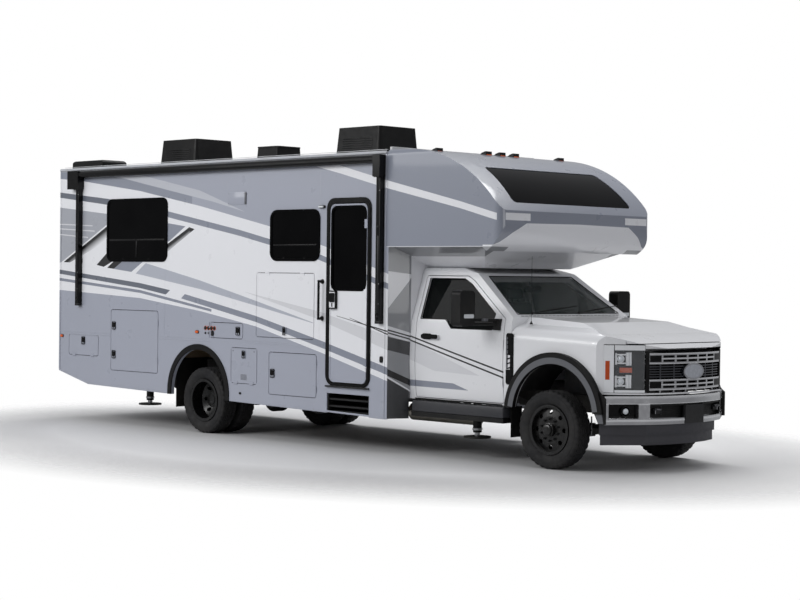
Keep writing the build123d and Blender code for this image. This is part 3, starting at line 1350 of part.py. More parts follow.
with BuildPart() as awning:
    y_axis = -(body_half_width + awning_r + hinge_gap)
    front_x = body_front_x - 20
    add(rod((awning_rear_x, y_axis, awning_z), (front_x, y_axis, awning_z), awning_r))
    y_wall = -body_half_width - hinge_gap
    for x0, x1 in ((awning_rear_x, awning_arm_rear_x + 60), (awning_arm_front_x - 60, front_x)):
        add(block(x0, x1, y_wall, y_axis - awning_r - 6, 3060, 3300))
    for x, low in ((awning_arm_rear_x, awning_arm_rear_z), (awning_arm_front_x, awning_arm_front_z)):
        add(block(x - awning_arm_width / 2, x + awning_arm_width / 2, y_wall, y_wall - awning_arm_depth - 12,
                  low, 3062))
save(awning.part, "awning")

with BuildPart() as marker_lamps:
    x0 = body_rear_x - hinge_gap
    for side, _ in SIDES:
        add(block(x0 - 30, x0, side * 1040, side * 1150, 960, 1330))
        for y in (0, 150):
            add(block(x0 - 22, x0, side * (1060 - y), side * (1140 - y), 3190, 3220))
    for y in (-150, 0, 150):
        add(block(x0 - 22, x0, y - 40, y + 40, 3215, 3245))
    for y in (-1020, -230, 0, 230, 1020):
        lamp = block(2000, 2110, y - 55, y + 55, 3290, 3372)
        add(cut(lamp, cap_outer.moved(Location((0, 0, hinge_gap)))))
    side_places = [(-4670, 1108), (-1770, 1247), (1490, 1041)]
    for side, _ in SIDES:
        for x, z in side_places:
            y = side * (body_half_width + hinge_gap)
            add(block(x - 32, x + 32, y, y + side * 16, z - 18, z + 18))
    y = -body_half_width - hinge_gap
    add(block(445, 545, y, y - 34, 2728, 2762))
save(marker_lamps.part, "marker_lamps")
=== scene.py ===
"""Looks of a motorhome: finishes, livery and fine detail, built round the fixed CAD frame.

All lengths are metres in the frame's own axes: +X forward, +Y left, +Z up.
"""

import logging
import math
from dataclasses import dataclass
from enum import Enum
from typing import Callable, Optional, Sequence

import bmesh
import bpy
from mathutils import Matrix, Vector


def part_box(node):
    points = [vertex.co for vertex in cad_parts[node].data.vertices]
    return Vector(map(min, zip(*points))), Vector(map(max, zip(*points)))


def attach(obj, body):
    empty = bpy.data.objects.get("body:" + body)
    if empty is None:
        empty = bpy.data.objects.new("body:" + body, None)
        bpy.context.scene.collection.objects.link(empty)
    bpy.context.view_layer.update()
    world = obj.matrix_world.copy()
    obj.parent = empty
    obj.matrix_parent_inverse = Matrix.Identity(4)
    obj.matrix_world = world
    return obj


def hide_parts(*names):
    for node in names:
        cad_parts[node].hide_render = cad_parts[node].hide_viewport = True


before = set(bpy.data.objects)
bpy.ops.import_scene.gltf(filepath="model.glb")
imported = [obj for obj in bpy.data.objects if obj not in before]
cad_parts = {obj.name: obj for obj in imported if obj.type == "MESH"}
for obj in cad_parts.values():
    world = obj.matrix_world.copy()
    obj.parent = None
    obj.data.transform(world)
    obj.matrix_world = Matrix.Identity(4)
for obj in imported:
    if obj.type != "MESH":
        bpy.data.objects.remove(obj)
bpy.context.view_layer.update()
LOG = logging.getLogger("motorhome")

Point = Sequence[float]
Pair = tuple[float, float]
Chain = Sequence[Pair]
Rect = tuple[float, float, float, float]
Colour = tuple[float, float, float, float]
BODY_HALF = 1.270
CAB_HALF = 1.012
AXLE_Z = 0.406
FRONT_AXLE_X = 3.720
REAR_AXLE_X = -1.720
COACH_FRONT_X = 1.55
# each bow has its centre's place along the vehicle, and its radius
NOSE_BOW = (2.9127, 1.8493)
BUMPER_BOW = (3.1258, 1.6642)
# the nose's corners turn about a point beyond the middle plane
NOSE_CORNER_Y, NOSE_CORNER_BOW, NOSE_CORNER_SHIFT = 0.650, (3.2919, 1.6596), 0.3124
# the bumper's corners are straight and fall back this much for each metre across
BUMPER_CORNER_X, BUMPER_CORNER_Y, BUMPER_SWEEP = 4.680, 0.595, 0.6341
PLATE_HALF, PLATE_TOP, PLATE_FACE = 0.1575, 0.6885, 4.776


class Side(Enum):
    """Which side of the vehicle a piece is on, and the sign of its y."""

    RIGHT = -1
    LEFT = 1

    @property
    def word(self) -> str:
        """The side's name as the CAD nodes spell it."""
        return self.name.lower()


def linear(red: int, green: int, blue: int) -> Colour:
    """Display colour, 0 to 255 a channel, as the linear colour that shaders use."""

    def one(value: int) -> float:
        """One channel as linear light."""
        share = value / 255
        return share / 12.92 if share <= 0.04045 else ((share + 0.055) / 1.055) ** 2.4

    return (one(red), one(green), one(blue), 1.0)


DUST = linear(120, 116, 108)
FLAKE = (0.9, 0.92, 0.96, 1.0)
CHROME = (0.90, 0.91, 0.93, 1.0)
CHROME_SMEARED = (0.78, 0.79, 0.81, 1.0)
CHROME_SMOKED = (0.16, 0.165, 0.18, 1.0)
BEHIND_CHROME = (0.008, 0.008, 0.009, 1.0)


class Tone(Enum):
    """Colours of the paint and its stripes, with darker tones that carry painted shade along the rear."""

    WHITE = linear(236, 237, 241)
    FIELD = linear(163, 167, 180)
    # darker grey: the cap's grey and small pieces of the livery; over the rear of the coach's field, painted
    # shade, partly a fade of the graphics
    FIELD_DARK = linear(139, 144, 157)
    STREAK = linear(190, 193, 201)
    STRIPE = linear(137, 142, 155)
    # the stripe grey darkened: painted shadow where the stripes run along the rear of the coach
    STRIPE_SHADED = linear(104, 109, 120)
    BLOCK = linear(166, 169, 177)
    PALE = linear(216, 217, 221)
    SWOOSH = linear(178, 182, 193)
    BLACK = linear(16, 16, 18)
    CHARCOAL = linear(58, 59, 62)
    MID = linear(150, 152, 156)
    CAB = linear(232, 233, 236)


# ------------------------------------------------------------------ materials
class Nodes:
    """A node tree, with short calls for the nodes that finishes and surroundings share."""

    def __init__(self, tree: bpy.types.NodeTree) -> None:
        """Keeps the tree that the nodes go into."""
        self.tree = tree

    def node(self, kind: str, inputs: Optional[dict] = None, **props) -> bpy.types.Node:
        """A new node with its inputs linked or set.

        Args:
            kind: The node's type, without its "ShaderNode".
            inputs: What each input is linked to or set to, by its name or number.
            props: Properties of the node itself.

        Returns:
            The node.
        """
        made = self.tree.nodes.new("ShaderNode" + kind)
        for key, value in props.items():
            setattr(made, key, value)
        for key, value in (inputs or {}).items():
            if isinstance(value, bpy.types.NodeSocket):
                self.tree.links.new(value, made.inputs[key])
            else:
                made.inputs[key].default_value = value
        return made

    def math(self, operation: str, *values) -> bpy.types.NodeSocket:
        """A Math node's result."""
        return self.node("Math", dict(enumerate(values)), operation=operation).outputs[0]

    def product(self, first, *others) -> bpy.types.NodeSocket:
        """All values multiplied: with shares of 0 or 1, it is 1 only where all are."""
        for other in others:
            first = self.math("MULTIPLY", first, other)
        return first

    def over(self, value, limit) -> bpy.types.NodeSocket:
        """1 where a value is over a limit, otherwise 0."""
        return self.math("GREATER_THAN", value, limit)

    def under(self, value, limit) -> bpy.types.NodeSocket:
        """1 where a value is under a limit, otherwise 0."""
        return self.math("LESS_THAN", value, limit)

    def less(self, value, taken) -> bpy.types.NodeSocket:
        """The first value less the second."""
        return self.math("SUBTRACT", value, taken)

    def span(self, value: bpy.types.NodeSocket, low: float, high: float, to_low: float,
             to_high: float) -> bpy.types.NodeSocket:
        """A value carried from one range to another, and kept within it."""
        return self.node("MapRange", {"Value": value, "From Min": low, "From Max": high, "To Min": to_low,
                                      "To Max": to_high}).outputs[0]

    def mix(self, share, first, second) -> bpy.types.NodeSocket:
        """The first colour, turning to the second by share."""
        return self.node("Mix", {0: share, 6: first, 7: second}, data_type="RGBA").outputs[2]


class Finish(Nodes):
    """One procedural material."""

    def __init__(self, name: str, **sockets: float) -> None:
        """Starts a material whose unlinked shader sockets have these values.

        Args:
            name: The material's name.
            sockets: Shader socket values, with underscores for spaces.
        """
        self.material = bpy.data.materials.new(name)
        self.material.use_nodes = True
        super().__init__(self.material.node_tree)
        self.shader = self.tree.nodes["Principled BSDF"]
        for socket, value in sockets.items():
            self.shader.inputs[socket.replace("_", " ")].default_value = value
        self.place = self.node("TexCoord").outputs["Object"]
        self.axes = self.node("SeparateXYZ", {"Vector": self.place}).outputs

    def reach(self) -> bpy.types.NodeSocket:
        """How far the point lies from the vehicle's middle plane."""
        return self.math("ABSOLUTE", self.axes["Y"])

    def noise(self, scale: float, detail: float = 3.0, rough: float = 0.5,
              stretch: Optional[Point] = None) -> bpy.types.NodeSocket:
        """Noise between 0 and 1, at this many features a metre."""
        where = self.place
        if stretch:
            where = self.node("Mapping", {"Vector": where, "Scale": stretch}).outputs[0]
        return self.node("TexNoise", {"Vector": where, "Scale": scale, "Detail": detail,
                                      "Roughness": rough}).outputs["Fac"]

    def curve(self, along: bpy.types.NodeSocket, chain: Chain) -> bpy.types.NodeSocket:
        """The height of a chain of straight lines at a place along it."""
        (start, first), (end, last) = chain[0], chain[-1]
        if len(chain) == 2:
            return self.span(along, start, end, first, last)
        low, high = min(p[1] for p in chain), max(p[1] for p in chain) + 1e-6
        made = self.node("FloatCurve", {"Value": self.span(along, start, end, 0.0, 1.0)})
        line = made.mapping.curves[0]
        points = [((a - start) / (end - start), (b - low) / (high - low)) for a, b in chain]
        line.points[0].location, line.points[1].location = points[0], points[-1]
        for point in points[1:-1]:
            line.points.new(*point)
        for point in line.points:
            point.handle_type = "VECTOR"
        made.mapping.update()
        return self.span(made.outputs[0], 0.0, 1.0, low, high)

    def bump(self, height: bpy.types.NodeSocket, strength: float, distance: float) -> None:
        """Gives the surface relief."""
        inputs = {"Height": height, "Strength": strength, "Distance": distance}
        self.join("Normal", self.node("Bump", inputs).outputs[0])

    def join(self, socket: str, value: bpy.types.NodeSocket) -> None:
        """Links a value to one of the shader's sockets."""
        self.tree.links.new(value, self.shader.inputs[socket])

    def colour(self, base: Colour, grime: float) -> None:
        """Base colour with soft, uneven dust over it."""
        share = self.span(self.noise(3.0, 5, 0.6), 0.35, 0.75, 0.0, grime)
        self.join("Base Color", self.mix(share, base, DUST))

    def roughness(self, low: float, high: float, scale: float = 18.0) -> None:
        """Roughness that wanders between two values."""
        self.join("Roughness", self.span(self.noise(scale, 4), 0.3, 0.7, low, high))


@dataclass(frozen=True)
class Stripe:
    """One stripe of the livery, between an upper and a lower chain of (place, height) points."""

    tone: Tone
    top: Chain
    low: Chain
    fade: float = 0.0
    across: str = "X"


COACH_STRIPES: tuple[Stripe, ...] = (
    Stripe(Tone.FIELD, ((-4.76, 3.40), (1.60, 3.40)),
           ((-4.76, 3.215), (-4.249, 3.172), (-2.97, 3.009), (-1.744, 2.795), (-0.387, 2.523), (0.608, 2.274),
            (1.60, 1.98))),
    # painted shade: the grey field darkened towards the rear, partly a fade of the graphics
    Stripe(Tone.FIELD_DARK, ((-4.76, 3.40), (-3.60, 3.30), (-2.9, 3.10), (-1.9, 2.92)),
           ((-4.76, 3.215), (-4.249, 3.172), (-2.97, 3.009), (-1.9, 2.822))),
    Stripe(Tone.STREAK, ((-4.25, 3.36), (-2.97, 3.215), (-1.747, 2.985), (-0.90, 2.715)),
           ((-4.25, 3.30), (-3.3, 3.175), (-2.30, 2.99), (-1.50, 2.845), (-0.90, 2.712))),
    Stripe(Tone.WHITE, ((0.30, 3.228), (0.60, 3.25), (1.60, 3.002)),
           ((0.30, 3.226), (0.776, 3.118), (1.60, 2.915))),
    Stripe(Tone.STRIPE, ((-4.76, 3.032), (-3.639, 2.921), (-2.404, 2.744), (-0.973, 2.493), (0.44, 2.205),
                         (1.60, 1.875)),
           ((-4.76, 2.962), (-3.638, 2.842), (-2.403, 2.669), (-0.972, 2.421), (0.441, 2.138), (1.60, 1.81))),
    # painted shadow: the rear end of this stripe darkened
    Stripe(Tone.STRIPE_SHADED, ((-4.76, 3.032), (-3.639, 2.921)), ((-4.76, 2.962), (-3.638, 2.842))),
    Stripe(Tone.BLOCK, ((-4.76, 2.83), (-3.60, 2.72)), ((-4.76, 2.07), (-4.645, 2.125), (-3.60, 2.625))),
    Stripe(Tone.PALE, ((-4.76, 2.612), (-4.0, 2.582)), ((-4.76, 2.598), (-4.0, 2.568))),
    Stripe(Tone.PALE, ((-4.76, 2.550), (-3.95, 2.512)), ((-4.76, 2.536), (-3.95, 2.498))),
    Stripe(Tone.PALE, ((-4.76, 2.475), (-4.1, 2.430)), ((-4.76, 2.461), (-4.1, 2.416))),
    Stripe(Tone.BLACK, ((-4.645, 2.102), (-3.60, 2.602)), ((-4.645, 2.095), (-4.511, 2.090), (-3.60, 2.40)),
           fade=0.16),
    Stripe(Tone.BLACK, ((-3.894, 2.066), (-3.679, 2.213), (-3.58, 2.15), (-3.49, 2.131)),
           ((-3.894, 2.060), (-3.74, 2.036), (-3.49, 2.130))),
    Stripe(Tone.FIELD_DARK, ((-3.66, 2.028), (-3.45, 2.15), (-2.872, 2.120)),
           ((-3.66, 2.024), (-3.138, 1.974), (-2.872, 2.118))),
    Stripe(Tone.BLACK, ((-3.66, 2.028), (-3.45, 2.15), (-3.35, 2.13)),
           ((-3.66, 2.024), (-3.52, 2.012), (-3.35, 2.10))),
    Stripe(Tone.SWOOSH, ((-3.04, 1.957), (-2.835, 2.089), (-1.729, 1.880), (-0.663, 1.648), (0.351, 1.418)),
           ((-3.04, 1.954), (-1.727, 1.774), (-0.662, 1.590), (0.351, 1.410))),
    Stripe(Tone.FIELD_DARK, ((-2.44, 2.598), (-2.031, 2.548)),
           ((-2.44, 2.335), (-2.341, 2.371), (-2.031, 2.546))),
    Stripe(Tone.BLACK, ((-2.44, 2.305), (-1.950, 2.536), (-1.848, 2.512)), ((-2.44, 2.20), (-2.20, 2.33),
                                                                              (-1.848, 2.51)), fade=0.12),
    Stripe(Tone.PALE, ((-0.868, 1.753), (0.468, 1.545), (1.60, 1.30)), ((-0.868, 1.750), (0.47, 1.452),
                                                                         (1.60, 1.14))),
    # painted shadow: this stripe darkened along the rear
    Stripe(Tone.STRIPE_SHADED, ((-4.76, 1.996), (-2.951, 1.834), (-2.331, 1.753)),
           ((-4.76, 1.940), (-2.95, 1.770), (-2.412, 1.696), (-2.331, 1.748))),
    Stripe(Tone.STRIPE, ((-2.097, 1.655), (-2.028, 1.708), (-0.66, 1.469), (0.592, 1.192), (1.60, 0.950)),
           ((-2.097, 1.652), (-0.659, 1.397), (0.594, 1.112), (1.60, 0.868))),
    Stripe(Tone.STRIPE, ((-4.76, 1.884), (-2.95, 1.745), (-1.50, 1.531)), ((-4.76, 1.846), (-2.949, 1.708),
                                                                           (-1.50, 1.500))),
    Stripe(Tone.BLACK, ((0.755, 1.508), (1.60, 1.356)), ((0.755, 1.503), (1.60, 1.340))),
    Stripe(Tone.BLACK, ((0.97, 1.490), (1.60, 1.322)), ((0.97, 1.485), (1.60, 1.306))),
    Stripe(Tone.FIELD, ((-4.76, 1.722), (-2.948, 1.642), (-1.722, 1.504), (-0.66, 1.345), (0.594, 1.055),
                        (1.60, 0.800)), ((-4.76, 0.30), (1.60, 0.30))),
)

CAP_STRIPE = Stripe(Tone.WHITE, ((1.50, 3.027), (2.647, 2.766), (3.20, 2.625)),
                    ((1.50, 2.940), (2.648, 2.692), (3.20, 2.552)))
# the lip's upper edge across the cap, as (reach from the middle plane, height)
CAP_LIP = ((0.0, 2.545), (0.86, 2.535), (1.06, 2.43), (1.20, 2.33), (1.28, 2.30))
CAP_NOSE_X = 2.98
CAP_GREY_Z = 2.29
CAP_UNDER_Z = 2.285
WING_X = 1.5755
# how far under a fading stripe's upper edge the fading starts
FADE_START = 0.04

WING_STRIPES: tuple[Stripe, ...] = (
    Stripe(Tone.MID, ((1.00, 2.30), (1.28, 2.30)), ((1.00, 1.30), (1.28, 1.30)), across="side"),
    Stripe(Tone.WHITE, ((1.00, 1.985), (1.28, 2.02)), ((1.00, 1.95), (1.28, 1.59)), across="side"),
    Stripe(Tone.WHITE, ((1.00, 1.335), (1.28, 1.42)), ((1.00, 1.26), (1.28, 1.31)), across="side"),
    Stripe(Tone.MID, ((1.00, 1.235), (1.28, 1.305)), ((1.00, 0.70), (1.28, 0.87)), across="side"),
    Stripe(Tone.CHARCOAL, ((1.00, 1.232), (1.28, 1.298)), ((1.00, 1.082), (1.28, 1.152)), across="side"),
    Stripe(Tone.BLACK, ((1.00, 1.303), (1.28, 1.381)), ((1.00, 1.288), (1.28, 1.365)), across="side"),
    Stripe(Tone.BLACK, ((1.00, 1.271), (1.28, 1.350)), ((1.00, 1.256), (1.28, 1.335)), across="side"),
    Stripe(Tone.BLACK, ((1.00, 0.818), (1.28, 0.946)), ((1.00, 0.748), (1.28, 0.872)), across="side"),
    Stripe(Tone.CHARCOAL, ((1.00, 0.682), (1.28, 0.845)), ((1.00, 0.30), (1.28, 0.30)), across="side"),
)

CAB_STRIPES: tuple[Stripe, ...] = (
    Stripe(Tone.PALE, ((1.60, 1.290), (2.711, 0.914)), ((1.60, 1.065), (2.044, 0.934), (2.711, 0.910))),
    Stripe(Tone.STRIPE, ((1.60, 0.823), (2.321, 0.811), (2.54, 0.746)), ((1.60, 0.752), (2.54, 0.744))),
    Stripe(Tone.BLACK, ((1.60, 1.326), (3.06, 0.975)), ((1.60, 1.310), (3.06, 0.956))),
    Stripe(Tone.BLACK, ((1.60, 1.283), (3.06, 0.915)), ((1.60, 1.267), (3.06, 0.896))),
)


class Paint(Finish):
    """Gloss paint with a livery of stripes that follow the body's sides."""

    # the sides that carry stripes lie beyond these reaches
    cap_side, cab_side = 1.262, 0.93
    # the stripe's two short pieces on the cap's nose: along, inner and outer reach, bottom and top
    nose_marks = (3.12, 0.80, 1.19, 2.562, 2.638)
    # the wheel housings: rear and front end, reach and top
    housing = (3.165, 4.30, 0.990, 1.27)

    def __init__(self, name: str, base: Tone) -> None:
        """Starts a clear-coated paint over one base colour."""
        super().__init__(name, Coat_Weight=0.7, Coat_Roughness=0.04, Specular_IOR_Level=0.45)
        self.face = base.value

    def cover(self, colour: Colour, *shares) -> None:
        """Lays a colour over what is there, only where every share is 1."""
        self.face = self.mix(self.product(*shares), self.face, colour)

    def stripe(self, band: Stripe, *where) -> None:
        """Lays one stripe over what is there, only where every share in `where` is 1."""
        along = self.reach() if band.across == "side" else self.axes["X"]
        high, low, height = self.curve(along, band.top), self.curve(along, band.low), self.axes["Z"]
        shares = [self.over(high, height), self.over(height, low), self.over(along, band.top[0][0]),
                  self.under(along, band.top[-1][0])]
        if band.fade:
            shares.append(self.span(self.less(high, height), FADE_START, band.fade, 1.0, 0.0))
        self.cover(band.tone.value, *shares, *where)

    def close(self, peel: float) -> bpy.types.Material:
        """Adds what all gloss paint has: faint dust low down, tiny flakes and orange peel.

        Args:
            peel: How strong the orange peel is.

        Returns:
            The finished material.
        """
        cloud = self.span(self.noise(1.7, 4, 0.5), 0.42, 0.8, 0.0, 0.04)
        self.cover(linear(128, 124, 116), self.span(self.axes["Z"], 0.3, 1.3, 1.0, 0.0), cloud)
        self.cover(FLAKE, self.span(self.noise(900.0, 1), 0.45, 0.75, 0.0, 0.025))
        self.join("Base Color", self.face)
        self.roughness(0.27, 0.31, 4.0)
        self.bump(self.noise(160.0, 2), peel, 0.0006)
        return self.material

    @classmethod
    def coach(cls) -> bpy.types.Material:
        """The coach's sides, doors and hatches."""
        made = cls("coach_livery", Tone.WHITE)
        for band in COACH_STRIPES:
            made.stripe(band)
        return made.close(0.04)

    @classmethod
    def cap(cls) -> bpy.types.Material:
        """The moulded front cap: grey above, white lip and underside, striped wings."""
        made = cls("cap_livery", Tone.WHITE)
        along, height, reach = made.axes["X"], made.axes["Z"], made.reach()
        above_lip = made.over(height, made.curve(reach, CAP_LIP))
        not_nose = made.less(1.0, made.over(along, CAP_NOSE_X))
        made.cover(Tone.FIELD_DARK.value, made.over(height, CAP_GREY_Z),
                   made.math("MAXIMUM", not_nose, above_lip))
        made.stripe(CAP_STRIPE, made.over(height, 2.30), made.over(reach, cls.cap_side))
        start, inner, outer, bottom, top = cls.nose_marks
        made.cover(Tone.WHITE.value, made.over(along, start), made.over(reach, inner),
                   made.under(reach, outer), made.over(height, bottom), made.under(height, top))
        low = made.under(height, CAP_UNDER_Z)
        for band in WING_STRIPES:
            made.stripe(band, made.over(along, WING_X), low)
        for band in COACH_STRIPES:
            if band.top[-1][0] > COACH_FRONT_X:
                made.stripe(band, made.under(along, WING_X), low)
        return made.close(0.06)

    @classmethod
    def cab(cls) -> bpy.types.Material:
        """The cab, its doors, hood and fenders, dark inside the wheel housings."""
        made = cls("cab_paint", Tone.CAB)
        along, height, reach = made.axes["X"], made.axes["Z"], made.reach()
        for band in CAB_STRIPES:
            made.stripe(band, made.over(reach, cls.cab_side))
        rear, front, side, top = cls.housing
        made.cover(linear(10, 10, 11), made.over(along, rear), made.under(along, front),
                   made.under(reach, side), made.under(height, top))
        return made.close(0.03)


@dataclass(frozen=True)
class Recipe:
    """Numbers of a plain finish: colour, gloss, grain and dirt."""

    rgb: tuple[int, int, int]
    rough: Pair = (0.4, 0.55)
    metal: float = 0.0
    grain: float = 60.0
    depth: float = 0.0004
    strength: float = 0.25
    grime: float = 0.1
    coat: float = 0.0
    shine: float = 0.5
    stretch: Optional[tuple[float, float, float]] = None


RECIPES: dict[str, Recipe] = {
    "frame_black": Recipe((20, 20, 21), (0.42, 0.62), grain=90, depth=0.0006, grime=0.22, shine=0.3),
    "cast_metal": Recipe((92, 92, 94), (0.48, 0.68), 0.75, grain=220, depth=0.0009, strength=0.5, grime=0.35),
    "tank_plastic": Recipe((22, 22, 24), (0.45, 0.6), grain=320, depth=0.0005, grime=0.15, shine=0.25),
    "exhaust_steel": Recipe((150, 146, 138), (0.32, 0.5), 1.0, grain=40, depth=0.0004, grime=0.35),
    "rim_black": Recipe((9, 9, 10), (0.24, 0.38), grain=400, depth=0.0003, grime=0.04, coat=0.15, shine=0.35),
    "tyre_rubber": Recipe((25, 25, 27), (0.66, 0.85), grain=700, depth=0.0005, strength=0.4, grime=0.10,
                          shine=0.35),
    "roof_white": Recipe((196, 199, 205), (0.5, 0.65), grain=500, depth=0.0006, strength=0.4, grime=0.3),
    "floor_wood": Recipe((120, 104, 84), (0.4, 0.55), grain=30, depth=0.0006, stretch=(1, 14, 1)),
    "trim_black": Recipe((15, 15, 16), (0.38, 0.5), grain=900, depth=0.0004, strength=0.5, grime=0.05,
                         shine=0.25),
    "trim_grey": Recipe((34, 35, 37), (0.45, 0.6), grain=900, depth=0.0004, strength=0.5, grime=0.05,
                        shine=0.25),
    "gloss_black": Recipe((5, 5, 6), (0.14, 0.24), grain=260, depth=0.0002, strength=0.12, grime=0.01,
                          coat=0.1, shine=0.22),
    "flap_rubber": Recipe((10, 10, 11), (0.6, 0.8), grain=300, depth=0.0008, strength=0.5, grime=0.1,
                          shine=0.2),
    "chrome_bright": Recipe((226, 228, 232), (0.03, 0.1), 1.0, grain=30, depth=0.0001, strength=0.05,
                            grime=0.02),
    "dark_satin": Recipe((24, 25, 27), (0.34, 0.46), grain=800, depth=0.0003, strength=0.4, grime=0.04,
                         shine=0.3),
    "flare_grey": Recipe((92, 94, 99), (0.45, 0.58), grain=900, depth=0.0004, strength=0.5, grime=0.08),
    "bare_steel": Recipe((176, 177, 180), (0.22, 0.38), 1.0, grain=60, depth=0.0002, grime=0.1),
    "carpet": Recipe((24, 24, 26), (0.85, 0.95), grain=1400, depth=0.004, strength=0.8, grime=0.05,
                     shine=0.1),
    "seal_rubber": Recipe((8, 8, 9), (0.55, 0.7), grain=500, depth=0.0003, strength=0.3, grime=0.03,
                          shine=0.2),
    "sealant": Recipe((214, 215, 216), (0.45, 0.6), grain=120, depth=0.002, strength=0.4, grime=0.2),
    "black_mesh": Recipe((5, 5, 6), (0.4, 0.6), grain=500, depth=0.0003, grime=0.02, shine=0.2),
    "window_bar": Recipe((14, 14, 15), (0.2, 0.3), grain=300, depth=0.0002, grime=0.02, shine=0.2),
    "lamp_silver": Recipe((238, 240, 243), (0.16, 0.28), 0.0, grain=60, depth=0.0002, grime=0.05, coat=0.6),
    "oval_grey": Recipe((176, 180, 188), (0.2, 0.35), 0.0, grain=200, depth=0.0003, grime=0.04, coat=0.4),
    "board_grey": Recipe((56, 57, 61), (0.4, 0.52), grain=700, depth=0.0004, strength=0.4, grime=0.06,
                         shine=0.3),
    "arch_black": Recipe((12, 12, 13), (0.5, 0.62), grain=900, depth=0.0004, strength=0.4, grime=0.03,
                         shine=0.2),
    "unit_black": Recipe((8, 8, 9), (0.35, 0.5), grain=500, depth=0.0003, strength=0.3, grime=0.02,
                         shine=0.2),
    "dam_grey": Recipe((62, 62, 67), (0.42, 0.55), grain=900, depth=0.0004, strength=0.4, grime=0.04,
                       shine=0.3),
    "bolt_grey": Recipe((84, 84, 88), (0.3, 0.45), 0.9, grain=120, depth=0.0003, grime=0.1),
}


@dataclass(frozen=True)
class Glass:
    """Numbers of a glass: the two tints of its film, how much it hides and how it shines."""

    tints: tuple[tuple[int, int, int], tuple[int, int, int]]
    alpha: float
    shine: float
    film: tuple[float, float, float, float]
    rough: tuple[float, float, float] = (0.01, 0.04, 5.0)
    ripple: float = 0.0


GLASSES: dict[str, Glass] = {
    "dark_glass": Glass(((3, 3, 4), (8, 8, 9)), 1.0, 0.07, (2.5, 2, 0.3, 1.0), (0.015, 0.05, 4.0), 0.05),
    "clear_glass": Glass(((46, 60, 58), (60, 72, 70)), 0.30, 0.5, (6.0, 3, 0.3, 0.35)),
    "side_glass": Glass(((5, 8, 8), (12, 16, 16)), 0.86, 0.12, (5.0, 3, 0.3, 0.35)),
    "lens_glass": Glass(((226, 230, 234), (190, 194, 198)), 0.07, 0.5, (9.0, 3, 0.35, 0.3),
                        (0.02, 0.06, 8.0)),
}

LENSES: dict[str, tuple[int, int, int]] = {
    "lamp_amber": (226, 96, 18), "lamp_red": (168, 14, 16), "lamp_clear": (228, 232, 236),
    "lens_amber": (196, 74, 14), "lens_clear": (226, 232, 238),
}


@dataclass(frozen=True)
class Plating:
    """Where a bowed and plated piece is bright, dark or smoked.

    Args:
        bow: Where the bow's centre lies along the vehicle, and its radius.
        deep: How far behind the face the chrome ends.
        band: The heights between which the dark parts lie.
        painted_highlights: Heights where the chrome turns to a pale non-metal, a painted highlight, each with
            how far it reaches.
        smoked: The heights between which the chrome is smoked.
        bumper: Whether it has the bumper's straight corners and its dark plate block.
    """

    bow: Pair
    deep: float
    band: Pair
    painted_highlights: tuple[Pair, ...]
    smoked: Pair = (0.0, 0.0)
    bumper: bool = False


PLATINGS: dict[str, Plating] = {
    "grille_chrome": Plating(NOSE_BOW, 0.031, (0.5, 1.4),
                             ((1.212, 0.008), (1.112, 0.006), (0.948, 0.008), (0.848, 0.006), (1.162, 0.007),
                              (0.898, 0.007)), smoked=(0.952, 1.108)),
    "bumper_chrome": Plating(BUMPER_BOW, 0.011, (0.561, 0.705),
                             ((0.785, 0.034), (0.706, 0.010), (0.540, 0.016)), bumper=True),
}


